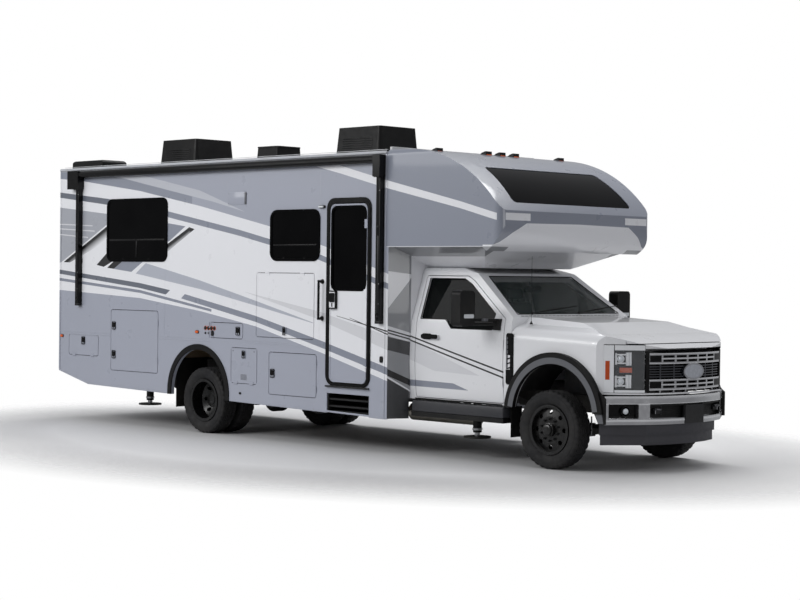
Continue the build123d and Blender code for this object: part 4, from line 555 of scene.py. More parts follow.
class Palette:
    """All finishes of the vehicle, made once and found by name."""

    def __init__(self) -> None:
        """Makes every finish."""
        self._made: dict[str, bpy.types.Material] = {
            "coach_paint": Paint.coach(), "cap_paint": Paint.cap(), "cab_paint": Paint.cab(),
            "seat_fabric": self._cloth("seat_fabric", (30, 31, 34), 420.0),
            "mirror_face": Finish("mirror_face", Metallic=1.0, Roughness=0.02).material,
        }
        for table, maker in ((RECIPES, self._plain), (GLASSES, self._glass), (LENSES, self._lens),
                             (PLATINGS, self._plated)):
            for name, numbers in table.items():
                self._made[name] = maker(name, numbers)

    def __getitem__(self, name: str) -> bpy.types.Material:
        """The finish of this name."""
        return self._made[name]

    @staticmethod
    def _plain(name: str, recipe: Recipe) -> bpy.types.Material:
        """A finish of one colour, with grain and dust."""
        made = Finish(name, Metallic=recipe.metal, Coat_Weight=recipe.coat, Coat_Roughness=0.08,
                      Specular_IOR_Level=recipe.shine)
        made.colour(linear(*recipe.rgb), recipe.grime)
        made.roughness(*recipe.rough)
        made.bump(made.noise(recipe.grain, 4, 0.6, recipe.stretch), recipe.strength, recipe.depth)
        return made.material

    @staticmethod
    def _glass(name: str, glass: Glass) -> bpy.types.Material:
        """Glass that lets light straight through, with an uneven film on it."""
        made = Finish(name, Alpha=glass.alpha, Specular_IOR_Level=glass.shine)
        scale, detail, onset, most = glass.film
        film = made.span(made.noise(scale, detail), onset, 0.7, 0.0, most)
        made.join("Base Color", made.mix(film, *(linear(*tint) for tint in glass.tints)))
        made.roughness(*glass.rough)
        if glass.ripple:
            made.bump(made.noise(3.0, 1), glass.ripple, 0.002)
        return made.material

    @staticmethod
    def _lens(name: str, rgb: tuple[int, int, int]) -> bpy.types.Material:
        """A moulded lens with fine flutes."""
        made = Finish(name, Coat_Weight=0.8, Coat_Roughness=0.04)
        wave = made.node("TexWave", {"Vector": made.place, "Scale": 60.0, "Distortion": 0.0},
                         wave_type="BANDS", bands_direction="DIAGONAL").outputs["Fac"]
        bright = linear(*rgb)
        shaded = tuple(0.55 * v for v in bright[:3]) + (1.0,)
        made.join("Base Color", made.mix(made.span(wave, 0.0, 1.0, 0.0, 0.35), bright, shaded))
        made.bump(wave, 0.4, 0.0012)
        made.roughness(0.08, 0.16, 30.0)
        return made.material

    @staticmethod
    def _plated(name: str, plating: Plating) -> bpy.types.Material:
        """Chrome on the outer face of a bowed piece, dark plastic in what lies behind it."""
        made = Finish(name)
        (centre, radius), height, reach = plating.bow, made.axes["Z"], made.reach()
        along = made.less(made.axes["X"], centre)
        square = made.math("ADD", made.product(along, along), made.product(reach, reach))
        depth = made.less(radius, made.math("SQRT", square))
        if plating.bumper:
            fall, outer = math.atan(BUMPER_SWEEP), made.over(reach, BUMPER_CORNER_Y)
            swept = made.less(made.product(made.less(BUMPER_CORNER_X, made.axes["X"]), math.cos(fall)),
                              made.product(made.less(reach, BUMPER_CORNER_Y), math.sin(fall)))
            depth = made.math("ADD", made.product(outer, swept), made.product(made.less(1.0, outer), depth))
        dark = made.product(made.over(depth, plating.deep), made.over(height, plating.band[0]),
                            made.under(height, plating.band[1]))
        if plating.bumper:
            plate = made.product(made.under(reach, PLATE_HALF), made.under(height, PLATE_TOP),
                                 made.over(made.axes["X"], PLATE_FACE))
            dark = made.math("MAXIMUM", dark, plate)
        # painted highlights: at these heights the chrome loses most of its metal and shows its pale colour,
        # lit as if it caught the light
        painted_highlight = 0.0
        for level, far in plating.painted_highlights:
            away = made.math("ABSOLUTE", made.less(height, level))
            painted_highlight = made.math("MAXIMUM", painted_highlight, made.span(away, 0.0, far, 1.0, 0.0))
        bright = made.mix(made.span(made.noise(7.0, 4), 0.35, 0.7, 0.0, 0.35), CHROME, CHROME_SMEARED)
        smoked = made.product(made.over(height, plating.smoked[0]), made.under(height, plating.smoked[1]))
        bright = made.mix(smoked, bright, CHROME_SMOKED)
        made.join("Base Color", made.mix(dark, bright, BEHIND_CHROME))
        plain = made.math("MAXIMUM", dark, made.product(painted_highlight, made.less(1.0, dark), 0.8))
        made.join("Metallic", made.less(1.0, plain))
        rough = made.span(made.noise(22.0, 4), 0.3, 0.7, 0.07, 0.17)
        made.join("Roughness", made.math("ADD", rough, made.product(dark, 0.35)))
        made.bump(made.noise(90.0, 3), 0.05, 0.0004)
        return made.material

    @staticmethod
    def _cloth(name: str, rgb: tuple[int, int, int], threads: float) -> bpy.types.Material:
        """Woven cloth: two crossed sets of threads with soft sheen."""
        made = Finish(name, Sheen_Weight=0.35, Sheen_Roughness=0.5)
        waves = [made.node("TexWave", {"Vector": made.place, "Scale": threads, "Distortion": 1.5},
                           bands_direction=way).outputs["Fac"] for way in ("Y", "Z")]
        weave = made.product(*waves)
        shade = made.span(weave, 0.0, 1.0, 0.0, 0.6)
        made.join("Base Color", made.mix(shade, linear(*rgb), linear(*(min(255, 2 * v) for v in rgb))))
        made.roughness(0.8, 0.95, 40.0)
        made.bump(weave, 0.5, 0.0008)
        return made.material


# ------------------------------------------------------------------ mesh building
def circle(centre: Vector, radius: float, up: Vector, out: Vector, sides: int) -> list[Vector]:
    """Points round a centre, in the plane of two crossed directions."""
    return [centre + radius * (math.cos(a) * up + math.sin(a) * out)
            for a in (2 * math.pi * k / sides for k in range(sides))]


class Shape:
    """A mesh in the making. Every call adds closed forms to it."""

    def __init__(self) -> None:
        """Starts an empty mesh."""
        self.bm = bmesh.new()

    def skin(self, rings: Sequence[Sequence[Vector]], closed: bool = False) -> "Shape":
        """Skins rings of equal length in order, closing the ends or joining last to first."""
        rows = [[self.bm.verts.new(p) for p in ring] for ring in rings]
        count = len(rows[0])
        for a, b in list(zip(rows, rows[1:])) + ([(rows[-1], rows[0])] if closed else []):
            for i in range(count):
                j = (i + 1) % count
                self.bm.faces.new((a[i], a[j], b[j], b[i]))
        if not closed:
            self.bm.faces.new(list(reversed(rows[0])))
            self.bm.faces.new(rows[-1])
        return self

    def block(self, low: Point, high: Point, edge: float = 0.002) -> "Shape":
        """A box between two corners, with chamfered edges."""
        lo = Vector([min(a, b) for a, b in zip(low, high)])
        hi = Vector([max(a, b) for a, b in zip(low, high)])
        edge = min(edge, *(0.45 * (hi - lo)))
        made = bmesh.ops.create_cube(self.bm, size=1.0)["verts"]
        for vert in made:
            vert.co = Vector([lo[i] + (vert.co[i] + 0.5) * (hi[i] - lo[i]) for i in range(3)])
        edges = list({e for v in made for e in v.link_edges})
        if edge > 0:
            bmesh.ops.bevel(self.bm, geom=edges, offset=edge, segments=2, profile=0.5, affect="EDGES")
        return self

    def prism(self, outline: Chain, plane: str, start: float, end: float) -> "Shape":
        """An outline in plane "xz", "yz" or "xy", drawn out along the third axis."""
        order = {"xz": (0, 2, 1), "yz": (1, 2, 0), "xy": (0, 1, 2)}[plane]

        def at(point: Pair, depth: float) -> Vector:
            """The outline's point at one depth."""
            made = [0.0, 0.0, 0.0]
            made[order[0]], made[order[1]], made[order[2]] = point[0], point[1], depth
            return Vector(made)

        return self.skin([[at(p, start) for p in outline], [at(p, end) for p in outline]])

    def panel(self, rect: Rect, corner: float, y0: float, y1: float) -> "Shape":
        """A plate with rounded corners, standing in the x-z plane: (x0, x1, z0, z1)."""
        return self.prism(rounded(rect, corner), "xz", y0, y1)

    def band(self, rect: Rect, corner: float, wide: float, y0: float, y1: float) -> "Shape":
        """A frame of even width just inside a rounded rectangle in the x-z plane."""
        x0, x1, z0, z1 = rect
        outer = rounded(rect, corner)
        inner = rounded((x0 + wide, x1 - wide, z0 + wide, z1 - wide), max(corner - wide, 0.002))
        return self.skin([[Vector((x, y, z)) for x, z in line]
                          for line, y in ((outer, y0), (outer, y1), (inner, y1), (inner, y0))], closed=True)

    def tube(self, path: Sequence[Point], radius: float, sides: int = 12) -> "Shape":
        """A round bar along a path of points."""
        points = [Vector(p) for p in path]
        rings, up = [], None
        for i, point in enumerate(points):
            ahead = points[min(i + 1, len(points) - 1)] - points[max(i - 1, 0)]
            ahead.normalize()
            if up is None:
                up = ahead.orthogonal().normalized()
            up = (up - ahead * up.dot(ahead)).normalized()
            rings.append(circle(point, radius, up, ahead.cross(up), sides))
        return self.skin(rings)

    def turned(self, profile: Chain, origin: Point, axis: Point, sides: int = 32,
               closed: bool = False) -> "Shape":
        """A form of revolution: (radius, distance along the axis) points about an axis."""
        way, base = Vector(axis).normalized(), Vector(origin)
        up = way.orthogonal().normalized()
        return self.skin([circle(base + way * along, radius, up, way.cross(up), sides)
                          for radius, along in profile], closed)

    def ball(self, centre: Point, size: Point, sides: int = 16) -> "Shape":
        """An ellipsoid with these half sizes."""
        made = bmesh.ops.create_uvsphere(self.bm, u_segments=sides, v_segments=max(6, sides // 2), radius=1.0)
        for vert in made["verts"]:
            vert.co = Vector([centre[i] + vert.co[i] * size[i] for i in range(3)])
        return self

    def piece(self, name: str, body: str, finish: bpy.types.Material, slot: str, smooth: float = 35.0,
              subdivide: int = 0) -> bpy.types.Object:
        """Closes the mesh as a piece of the vehicle.

        Args:
            name: The piece's name.
            body: The CAD body that it rides on.
            finish: What it is made of.
            slot: The record's material that it stands for; not used.
            smooth: Edges steeper than this many degrees stay sharp.
            subdivide: How many times a soft piece is subdivided.

        Returns:
            The piece.
        """
        bmesh.ops.recalc_face_normals(self.bm, faces=self.bm.faces)
        self.bm.normal_update()
        limit = math.radians(smooth)
        for face in self.bm.faces:
            face.smooth = True
        for edge in self.bm.edges:
            if len(edge.link_faces) == 2:
                edge.smooth = edge.calc_face_angle(0.0) < limit
        mesh = bpy.data.meshes.new(name)
        self.bm.to_mesh(mesh)
        self.bm.free()
        mesh.materials.append(finish)
        made = bpy.data.objects.new(name, mesh)
        bpy.context.scene.collection.objects.link(made)
        if subdivide:
            level = made.modifiers.new("rounding", "SUBSURF")
            level.levels = level.render_levels = subdivide
        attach(made, body)
        LOG.info("piece %s: %d faces on %s", name, len(mesh.polygons), body)
        return made


def rounded(rect: Rect, corner: float, steps: int = 6) -> list[Pair]:
    """Outline of a rectangle (a0, a1, b0, b1) with round corners."""
    a0, a1, b0, b1 = rect
    corner = min(corner, 0.49 * (a1 - a0), 0.49 * (b1 - b0))
    points = []
    for ca, cb, start in ((a1 - corner, b1 - corner, 0), (a0 + corner, b1 - corner, 90),
                          (a0 + corner, b0 + corner, 180), (a1 - corner, b0 + corner, 270)):
        for step in range(steps + 1):
            angle = math.radians(start + 90 * step / steps)
            points.append((ca + corner * math.cos(angle), cb + corner * math.sin(angle)))
    return points


class Dresser:
    """Shared ground of the sub-assemblies: the palette and how a shape becomes a piece."""

    def __init__(self, palette: Palette) -> None:
        """Keeps the palette for the pieces to come."""
        self.palette = palette

    def add(self, shape: Shape, name: str, finish: str, slot: str = "trim_black", body: str = "chassis",
            **more) -> bpy.types.Object:
        """Closes a shape as a piece with one of the palette's finishes."""
        return shape.piece(name, body, self.palette[finish], slot, **more)

    def build(self) -> None:
        """Makes the sub-assembly's pieces."""
        raise NotImplementedError


# ------------------------------------------------------------------ wheels
@dataclass(frozen=True)
class TyreSize:
    """Main sizes of a tyre and its tread."""

    radius: float = 0.406
    rim_radius: float = 0.263
    groove: float = 0.011
    segments: int = 216
    lug: int = 6
    crown: float = 0.45
    zigzag: float = 0.0028
    sipe: float = 0.004
    shoulder_cut: float = 0.0075
    rib_start: float = -0.068
    rib_pitch: float = 0.0280


class Wheels(Dresser):
    """Tyres with tread, and the studs, hubs and valves of the wheels."""

    size = TyreSize()
    front_y = 0.945
    rear_y = 0.955
    dual_offset = 0.145
    hub_y = 1.0602

    def section(self) -> list[tuple[float, float, int]]:
        """The tyre across: (y, radius, kind), from the inner bead over the tread to the outer bead.

        Returns:
            The points. Kind 0 is plain, 1 a groove's floor, 2 a rib's top and 3 the shoulder.
        """
        s = self.size
        wall = [(-0.085, s.rim_radius, 0), (-0.092, 0.272, 0), (-0.103, 0.292, 0), (-0.111, 0.316, 0),
                (-0.113, 0.330, 0), (-0.1125, 0.345, 0), (-0.110, 0.358, 0), (-0.107, 0.3600, 0),
                (-0.1068, 0.372, 0), (-0.1035, 0.384, 3), (-0.099, 0.3935, 3), (-0.094, 0.3985, 3),
                (-0.076, 0.4045, 2)]
        tread = [(-0.0725, True, 2)]
        for rib in range(5):
            y0 = s.rib_start + rib * s.rib_pitch
            tread += [(y0, False, 1), (y0 + 0.0035, True, 2), (y0 + 0.0205, True, 2), (y0 + 0.024, False, 1)]
        tread.append((0.0725, True, 2))
        rows = list(wall)
        for place, raised, kind in tread:
            top = s.radius - s.crown * place * place
            rows.append((place, top if raised else top - s.groove, kind))
        return rows + [(-a, r, k) for a, r, k in reversed(wall)]

    def tyre(self, shape: Shape, x: float, y: float) -> None:
        """Adds one tyre, with zigzag ribs, sipes and shoulder lugs cut into its tread."""
        s = self.size
        rings = []
        for a, radius, kind in self.section():
            inner = abs(a) < 0.07
            ring = []
            for i in range(s.segments):
                angle, lug = 2 * math.pi * i / s.segments, i % s.lug
                r, shift = radius, 0.0
                if kind in (1, 2):
                    shift = s.zigzag if lug < 3 else -s.zigzag
                if kind == 2 and inner and lug == (0 if round(a * 1000) % 2 else 3):
                    r -= s.sipe
                if kind == 3 and lug in (0, 1):
                    r -= s.shoulder_cut
                if kind == 2 and not inner and lug in (0, 1):
                    r -= s.groove * 0.8
                ring.append(Vector((x + r * math.cos(angle), y + a + shift, AXLE_Z + r * math.sin(angle))))
            rings.append(ring)
        shape.skin(rings, closed=True)

    @staticmethod
    def around(x: float, radius: float, count: int, start: float = 0.5) -> list[Pair]:
        """Places (x, z) of a bolt circle round an axle."""
        turns = [2 * math.pi * (i + start) / count for i in range(count)]
        return [(x + radius * math.cos(a), AXLE_Z + radius * math.sin(a)) for a in turns]

    def nuts(self, shape: Shape, x: float, face_y: float, sign: int, tall: float) -> None:
        """Adds a circle of hexagon nuts with stud ends on a disc."""
        size = 0.0135
        for nx, nz in self.around(x, 0.1125, 10):
            centre = (nx, face_y, nz)
            shape.turned([(size * 1.35, 0.0), (size * 1.35, 0.004), (size, 0.0045), (size, tall * 0.85),
                          (size * 0.85, tall)], centre, (0, sign, 0), 6)
            shape.turned([(size * 0.5, tall * 0.9), (size * 0.5, tall * 1.35), (size * 0.42, tall * 1.42)],
                         centre, (0, sign, 0), 10)

    def lip(self, shape: Shape, x: float, y: float, sign: int, valve: Chain) -> None:
        """Adds a rim's rolled edge, and a valve whose points are (height over the axle, y)."""
        shape.turned([(0.2475, 0.0), (0.2525, 0.001), (0.2525, 0.006), (0.2475, 0.007)],
                     (x, sign * (y + 0.0925), AXLE_Z), (0, sign, 0), 72, closed=True)
        shape.tube([(x + out, sign * across, AXLE_Z) for out, across in valve], 0.005, 8)

    def build(self) -> None:
        """Dresses all six tyres and four hubs."""
        for side in Side:
            sign = side.value
            front = Shape()
            self.tyre(front, FRONT_AXLE_X, sign * self.front_y)
            made = self.add(front, f"tread_tyre_front_{side.word}", "tyre_rubber", "tyre_rubber",
                            f"front_wheel_{side.word}", smooth=40)
            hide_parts(f"front_tyre_{side.word}")
            rear = Shape()
            for y in (self.rear_y - self.dual_offset, self.rear_y + self.dual_offset):
                self.tyre(rear, REAR_AXLE_X, sign * y)
            made = self.add(rear, f"tread_tyres_rear_{side.word}", "tyre_rubber", "tyre_rubber",
                            f"rear_wheels_{side.word}", smooth=40)
            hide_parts(f"rear_tyres_{side.word}")
            self.front_hub(side)
            self.rear_hub(side)

    def front_hub(self, side: Side) -> None:
        """Studs, hub cap and valve of a front wheel."""
        sign, body, x = side.value, f"front_wheel_{side.word}", FRONT_AXLE_X
        face, axis = sign * (self.front_y + 0.072), (0, side.value, 0)
        studs = Shape()
        self.nuts(studs, x, face, sign, 0.024)
        self.add(studs, f"front_nuts_{side.word}", "dark_satin", "rim_black", body)
        cap = Shape()
        cap.turned([(0.071, 0.030), (0.071, 0.036), (0.062, 0.040), (0.058, 0.056), (0.050, 0.062),
                    (0.020, 0.064)], (x, face, AXLE_Z), axis, 40)
        for cx, cz in self.around(x, 0.066, 6, 0.0):
            cap.turned([(0.006, 0.034), (0.006, 0.042), (0.005, 0.043)], (cx, face, cz), axis, 6)
        self.add(cap, f"front_hub_cap_{side.word}", "rim_black", "rim_black", body)
        lip = Shape()
        self.lip(lip, x, self.front_y, sign, ((0.215, 0.985), (0.222, 1.02), (0.224, 1.035)))
        self.add(lip, f"front_rim_lip_{side.word}", "dark_satin", "rim_black", body)

    def rear_hub(self, side: Side) -> None:
        """Studs, flange and valve of a rear pair."""
        sign, body, x = side.value, f"rear_wheels_{side.word}", REAR_AXLE_X
        axis = (0, sign, 0)
        nuts = Shape()
        self.nuts(nuts, x, sign * (self.rear_y + 0.013), sign, 0.026)
        for cx, cz in self.around(x, 0.078, 8):
            nuts.turned([(0.0085, 0.0), (0.0085, 0.009), (0.007, 0.011)], (cx, sign * self.hub_y, cz), axis,
                        6)
        self.add(nuts, f"rear_nuts_{side.word}", "dark_satin", "rim_black", body)
        flange = Shape()
        flange.turned([(0.096, 0.0), (0.096, 0.004), (0.060, 0.006), (0.055, 0.014), (0.030, 0.017)],
                      (x, sign * self.hub_y, AXLE_Z), axis, 40)
        self.lip(flange, x, self.rear_y + self.dual_offset, sign,
                 ((0.213, 1.02), (0.218, 1.10), (0.222, 1.165)))
        self.add(flange, f"rear_hub_flange_{side.word}", "rim_black", "rim_black", body)


# ------------------------------------------------------------------ coach
class CoachTrim(Dresser):
    """Mouldings, seams, windows' bars, fittings and sockets on the coach's outside."""

    belt = (1.134, 1.172)
    rib = 0.009
    # the belt's stretches along each side, between the door, lids and vents that interrupt it
    runs = {Side.RIGHT: ((-4.735, -3.585), (-2.545, -1.53), (-0.88, 0.585)),
            Side.LEFT: ((-4.735, -3.585), (-2.545, 1.50))}
    socket_places = (-1.608, -1.550, -1.492, -1.436)

    @staticmethod
    def strip(shape: Shape, sign: int, x0: float, x1: float, z0: float, z1: float,
              proud: float = 0.0022) -> None:
        """Adds a thin moulding on a side wall."""
        shape.block((x0, sign * (BODY_HALF + 0.0002), z0), (x1, sign * (BODY_HALF + proud), z1), 0.001)

    def build(self) -> None:
        """Makes the coach's trim."""
        for side in Side:
            self.mouldings(side)
            self.gutter(side)
            self.screws(side)
            self.windows(side)
        self.vent_box()
        self.sockets()
        self.rear_wall()

    def mouldings(self, side: Side) -> None:
        """The belt's two ribs, the wall's two seams and the mouldings of the corners and the skirt."""
        sign, belt = side.value, Shape()
        for x0, x1 in self.runs[side]:
            self.strip(belt, sign, x0, x1, self.belt[0], self.belt[0] + self.rib)
            self.strip(belt, sign, x0, x1, self.belt[1] - self.rib, self.belt[1])
        for x in (-2.43, 0.455):
            self.strip(belt, sign, x - 0.004, x + 0.004, 1.19, 3.20, 0.0012)
        self.add(belt, f"belt_moulding_{side.word}", "coach_paint", "coach_paint")
        corner = Shape()
        self.strip(corner, sign, 1.515, 1.538, 0.40, 3.33, 0.006)
        self.strip(corner, sign, -4.740, -4.712, 0.66, 3.33, 0.006)
        for chain in ((-4.735, -4.069, -2.352), (-1.138, 1.535)):
            lower = [(x, skirt_height(x) + 0.008) for x in chain]
            upper = [(x, z + 0.020) for x, z in reversed(lower)]
            corner.prism(lower + upper, "xz", sign * (BODY_HALF + 0.0002), sign * (BODY_HALF + 0.003))
        self.add(corner, f"corner_mouldings_{side.word}", "coach_paint", "coach_paint")

    def gutter(self, side: Side) -> None:
        """The rain gutter along the roof's edge: a flange with a lip in front."""
        sign, gutter = side.value, Shape()
        for inner, outer, z0, z1 in ((0.0002, 0.010, 3.318, 3.345), (0.006, 0.016, 3.314, 3.330)):
            gutter.block((-4.738, sign * (BODY_HALF + inner), z0),
                         (1.538, sign * (BODY_HALF + outer), z1), 0.003)
        self.add(gutter, f"roof_gutter_{side.word}", "roof_white", "roof_white")

    def screws(self, side: Side) -> None:
        """Screw caps along the skirt, left out over the wheels."""
        sign, caps = side.value, Shape()
        for x in (-4.60 + i * 0.262 for i in range(24)):
            if not -2.40 < x < -1.10:
                caps.turned([(0.006, 0), (0.006, 0.0015), (0.003, 0.003)],
                            (x, sign * (BODY_HALF + 0.003), skirt_height(x) + 0.019), (0, sign, 0), 10)
        self.add(caps, f"skirt_screws_{side.word}", "bare_steel", "roof_white")

    def windows(self, side: Side) -> None:
        """Bars, weep covers and sealant beads of the coach's dark windows."""
        sign = side.value
        y0, y1 = sign * (BODY_HALF + 0.0062), sign * (BODY_HALF + 0.0105)
        bars = Shape()
        bars.block((-3.610, y0, 2.372), (-2.441, y1, 2.396), 0.002)
        bars.block((-3.038, y0, 2.163), (-3.014, y1, 2.374), 0.002)
        bars.block((-0.352, y0, 2.300), (0.402, y1, 2.318), 0.002)
        for x0, x1, z in ((-3.643, -2.408, 2.130), (-0.386, 0.436, 2.147)):
            for share in (0.28, 0.72):
                x = x0 + share * (x1 - x0)
                bars.block((x - 0.018, sign * (BODY_HALF + 0.0142), z + 0.006),
                           (x + 0.018, sign * (BODY_HALF + 0.0185), z + 0.016), 0.001)
        self.add(bars, f"window_bars_{side.word}", "window_bar", "dark_glass")
        beads = Shape()
        for rect, corner in (((-3.650, -2.401, 2.123, 2.899), 0.082), ((-0.393, 0.443, 2.140, 2.705), 0.092)):
            grown = (rect[0] - 0.018, rect[1] + 0.018, rect[2] - 0.018, rect[3] + 0.018)
            beads.band(grown, corner + 0.018, 0.004, sign * (BODY_HALF + 0.0003), sign * (BODY_HALF + 0.0022))
        self.add(beads, f"window_sealant_{side.word}", "seal_rubber", "dark_glass")

    def vent_box(self) -> None:
        """The flush refrigerator-style vent cover high on the right wall."""
        x0, x1, z0, z1 = -1.205, -0.870, 2.795, 2.948
        y = -BODY_HALF
        box = Shape()
        box.block((x0, y - 0.0045, z0), (x1, y - 0.0003, z1), 0.003)
        self.add(box, "wall_vent_cover", "coach_paint", "coach_paint")
        edge = Shape()
        # a grey strip over the cover's forward edge: painted shade of the raised cover's edge; the four
        # screws go with it
        edge.block((x1 - 0.014, y - 0.0002, z0 + 0.004), (x1 + 0.014, y - 0.011, z1 - 0.004), 0.003)
        for x in (x0 + 0.02, x1 - 0.03):
            for z in (z0 + 0.018, z1 - 0.018):
                edge.turned([(0.004, 0), (0.004, 0.002), (0.002, 0.003)], (x, y - 0.004, z), (0, -1, 0), 8)
        self.add(edge, "wall_vent_shaded_edge", "flare_grey")

    def sockets(self) -> None:
        """The cluster of sockets and caps over the rear wheel, the drain and the small marks."""
        y = -BODY_HALF
        back = Shape()
        for x in self.socket_places:
            back.turned([(0.024, 0), (0.024, 0.006), (0.018, 0.009), (0.008, 0.010)], (x, y - 0.0002, 1.300),
                        (0, -1, 0), 20)
        for x, size in ((-1.608, 0.013), (-1.541, 0.016)):
            back.turned([(size, 0), (size, 0.008), (size * 0.6, 0.012)], (x, y - 0.0002, 1.238), (0, -1, 0),
                        16)
        back.panel((-1.490, -1.446, 1.205, 1.272), 0.018, y - 0.0002, y - 0.012)
        back.panel((-0.955, -0.915, 0.522, 0.548), 0.012, y - 0.0002, y - 0.008)
        self.add(back, "socket_caps", "trim_black")
        rings = Shape()
        for x in self.socket_places:
            rings.turned([(0.0275, 0.0002), (0.0275, 0.004), (0.0245, 0.0045), (0.0245, 0.0002)],
                         (x, y - 0.0002, 1.300), (0, -1, 0), 24, closed=True)
        self.add(rings, "socket_rings", "lamp_amber", "lamp_amber")

    def rear_wall(self) -> None:
        """Seams, camera, plate holder and blank plate on the rear wall."""
        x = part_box("rear_wall")[0].x
        seams = Shape()
        for y in (-0.62, 0.62):
            seams.block((x - 0.0002, y - 0.004, 0.83), (x - 0.002, y + 0.004, 3.15), 0.0005)
        seams.block((x - 0.0002, -1.20, 1.136), (x - 0.0022, 1.20, 1.145), 0.0005)
        seams.block((x - 0.0002, -1.20, 1.163), (x - 0.0022, 1.20, 1.172), 0.0005)
        self.add(seams, "rear_seams", "coach_paint", "coach_paint")
        dark = Shape()
        dark.block((x - 0.0002, -0.26, 0.87), (x - 0.012, 0.10, 1.06), 0.006)
        dark.block((x - 0.0002, -0.045, 3.10), (x - 0.020, 0.045, 3.16), 0.006)
        dark.turned([(0.022, 0), (0.020, 0.020), (0.012, 0.024)], (x - 0.018, 0, 3.13), (-1, 0, 0), 20)
        self.add(dark, "rear_plate_holder_and_camera", "trim_black")
        plate = Shape()
        plate.block((x - 0.0122, -0.232, 0.885), (x - 0.0150, 0.072, 1.045), 0.001)
        self.add(plate, "rear_plate_blank", "roof_white", "roof_white")


def skirt_height(x: float) -> float:
    """Height of the skirt's lower edge at x."""
    if x < -4.069:
        return 0.640 + (x + 4.742) * (0.486 - 0.640) / (4.742 - 4.069)
    return 0.486 + (x + 4.069) * (0.381 - 0.486) / (1.540 + 4.069)


@dataclass(frozen=True)
class HatchFit:
    """What one hatch carries: its node, side, outline and latch places."""

    node: str
    side: Side
    rect: Rect
    latches: tuple[Pair, ...]
    corner: float = 0.035
    latch_size: Pair = (0.036, 0.052)


REAR_STORAGE = (-3.564, -2.567, 0.700, 1.480)
REAR_LATCHES = ((-3.496, 1.277), (-3.496, 0.903))
FRONT_STORAGE = (-0.415, 0.413, 0.557, 1.048)
HATCHES: tuple[HatchFit, ...] = (
    HatchFit("rear_storage_door_right", Side.RIGHT, REAR_STORAGE, REAR_LATCHES),
    HatchFit("corner_hatch_right", Side.RIGHT, (-4.509, -3.847, 0.867, 1.133), ((-4.178, 1.060),)),
    HatchFit("power_hatch_right", Side.RIGHT, (-1.518, -0.904, 1.188, 1.369), ((-0.987, 1.279),)),
    HatchFit("utility_hatch_right", Side.RIGHT, (-1.112, -0.637, 0.657, 1.076), ((-0.875, 1.003),), 0.012,
             (0.030, 0.046)),
    HatchFit("front_storage_door_right", Side.RIGHT, FRONT_STORAGE, ((-0.347, 0.803),)),
    HatchFit("galley_hatch_right", Side.RIGHT, (-0.653, 0.363, 1.227, 1.980), ((-0.145, 1.305),), 0.02,
             (0.026, 0.048)),
    HatchFit("rear_storage_door_left", Side.LEFT, REAR_STORAGE, REAR_LATCHES),
    HatchFit("front_storage_door_left", Side.LEFT, FRONT_STORAGE, ((-0.347, 0.803),)),
)


class Hatches(Dresser):
    """Latches, key faces and edge frames of the coach's hatches."""

    def build(self) -> None:
        """Dresses every hatch."""
        for fit in HATCHES:
            sign = fit.side.value
            y = sign * BODY_HALF
            frame_piece = Shape()
            frame_piece.band(fit.rect, fit.corner, 0.007, y + sign * 0.0003, y + sign * 0.0018)
            self.add(frame_piece, f"{fit.node}_edge", "coach_paint", "coach_paint", body=fit.node)
            latch = Shape()
            for x, z in fit.latches:
                wide, tall = fit.latch_size
                face = y + sign * 0.0092
                latch.band((x - wide, x + wide, z - tall, z + tall), 0.014, 0.008, y + sign * 0.0003,
                           face + sign * 0.003)
                latch.panel((x - wide + 0.012, x + wide - 0.012, z - tall + 0.030, z + tall - 0.012), 0.008,
                            face, face + sign * 0.005)
                latch.turned([(0.0095, 0.0), (0.0095, 0.004), (0.006, 0.005)],
                             (x, face, z - tall + 0.019), (0, sign, 0), 18)
            self.add(latch, f"{fit.node}_latch", "gloss_black", body=fit.node)
            key = Shape()
            for x, z in fit.latches:
                key.turned([(0.0052, 0.0), (0.0052, 0.0008)],
                           (x, y + sign * 0.0142, z - fit.latch_size[1] + 0.019), (0, sign, 0), 14)
                key.block((x - 0.0010, y + sign * 0.0148, z - fit.latch_size[1] + 0.015),
                          (x + 0.0010, y + sign * 0.0156, z - fit.latch_size[1] + 0.023), 0.0002)
            self.add(key, f"{fit.node}_key", "bare_steel", body=fit.node)
            if fit.node == "utility_hatch_right":
                self.louvres(fit)

    def louvres(self, fit: HatchFit) -> None:
        """Two screws and a short row of slots on the utility cover."""
        y = -BODY_HALF
        made = Shape()
        for x in (fit.rect[0] + 0.035, fit.rect[1] - 0.05):
            made.turned([(0.008, 0.0), (0.008, 0.002), (0.004, 0.004)], (x, y - 0.0003, 1.040), (0, -1, 0),
                        14)
        for i in range(5):
            z = 0.70 + i * 0.014
            made.block((-0.93, y - 0.0003, z), (-0.82, y - 0.004, z + 0.005), 0.001)
        self.add(made, "utility_hatch_screws", "flare_grey", body=fit.node)


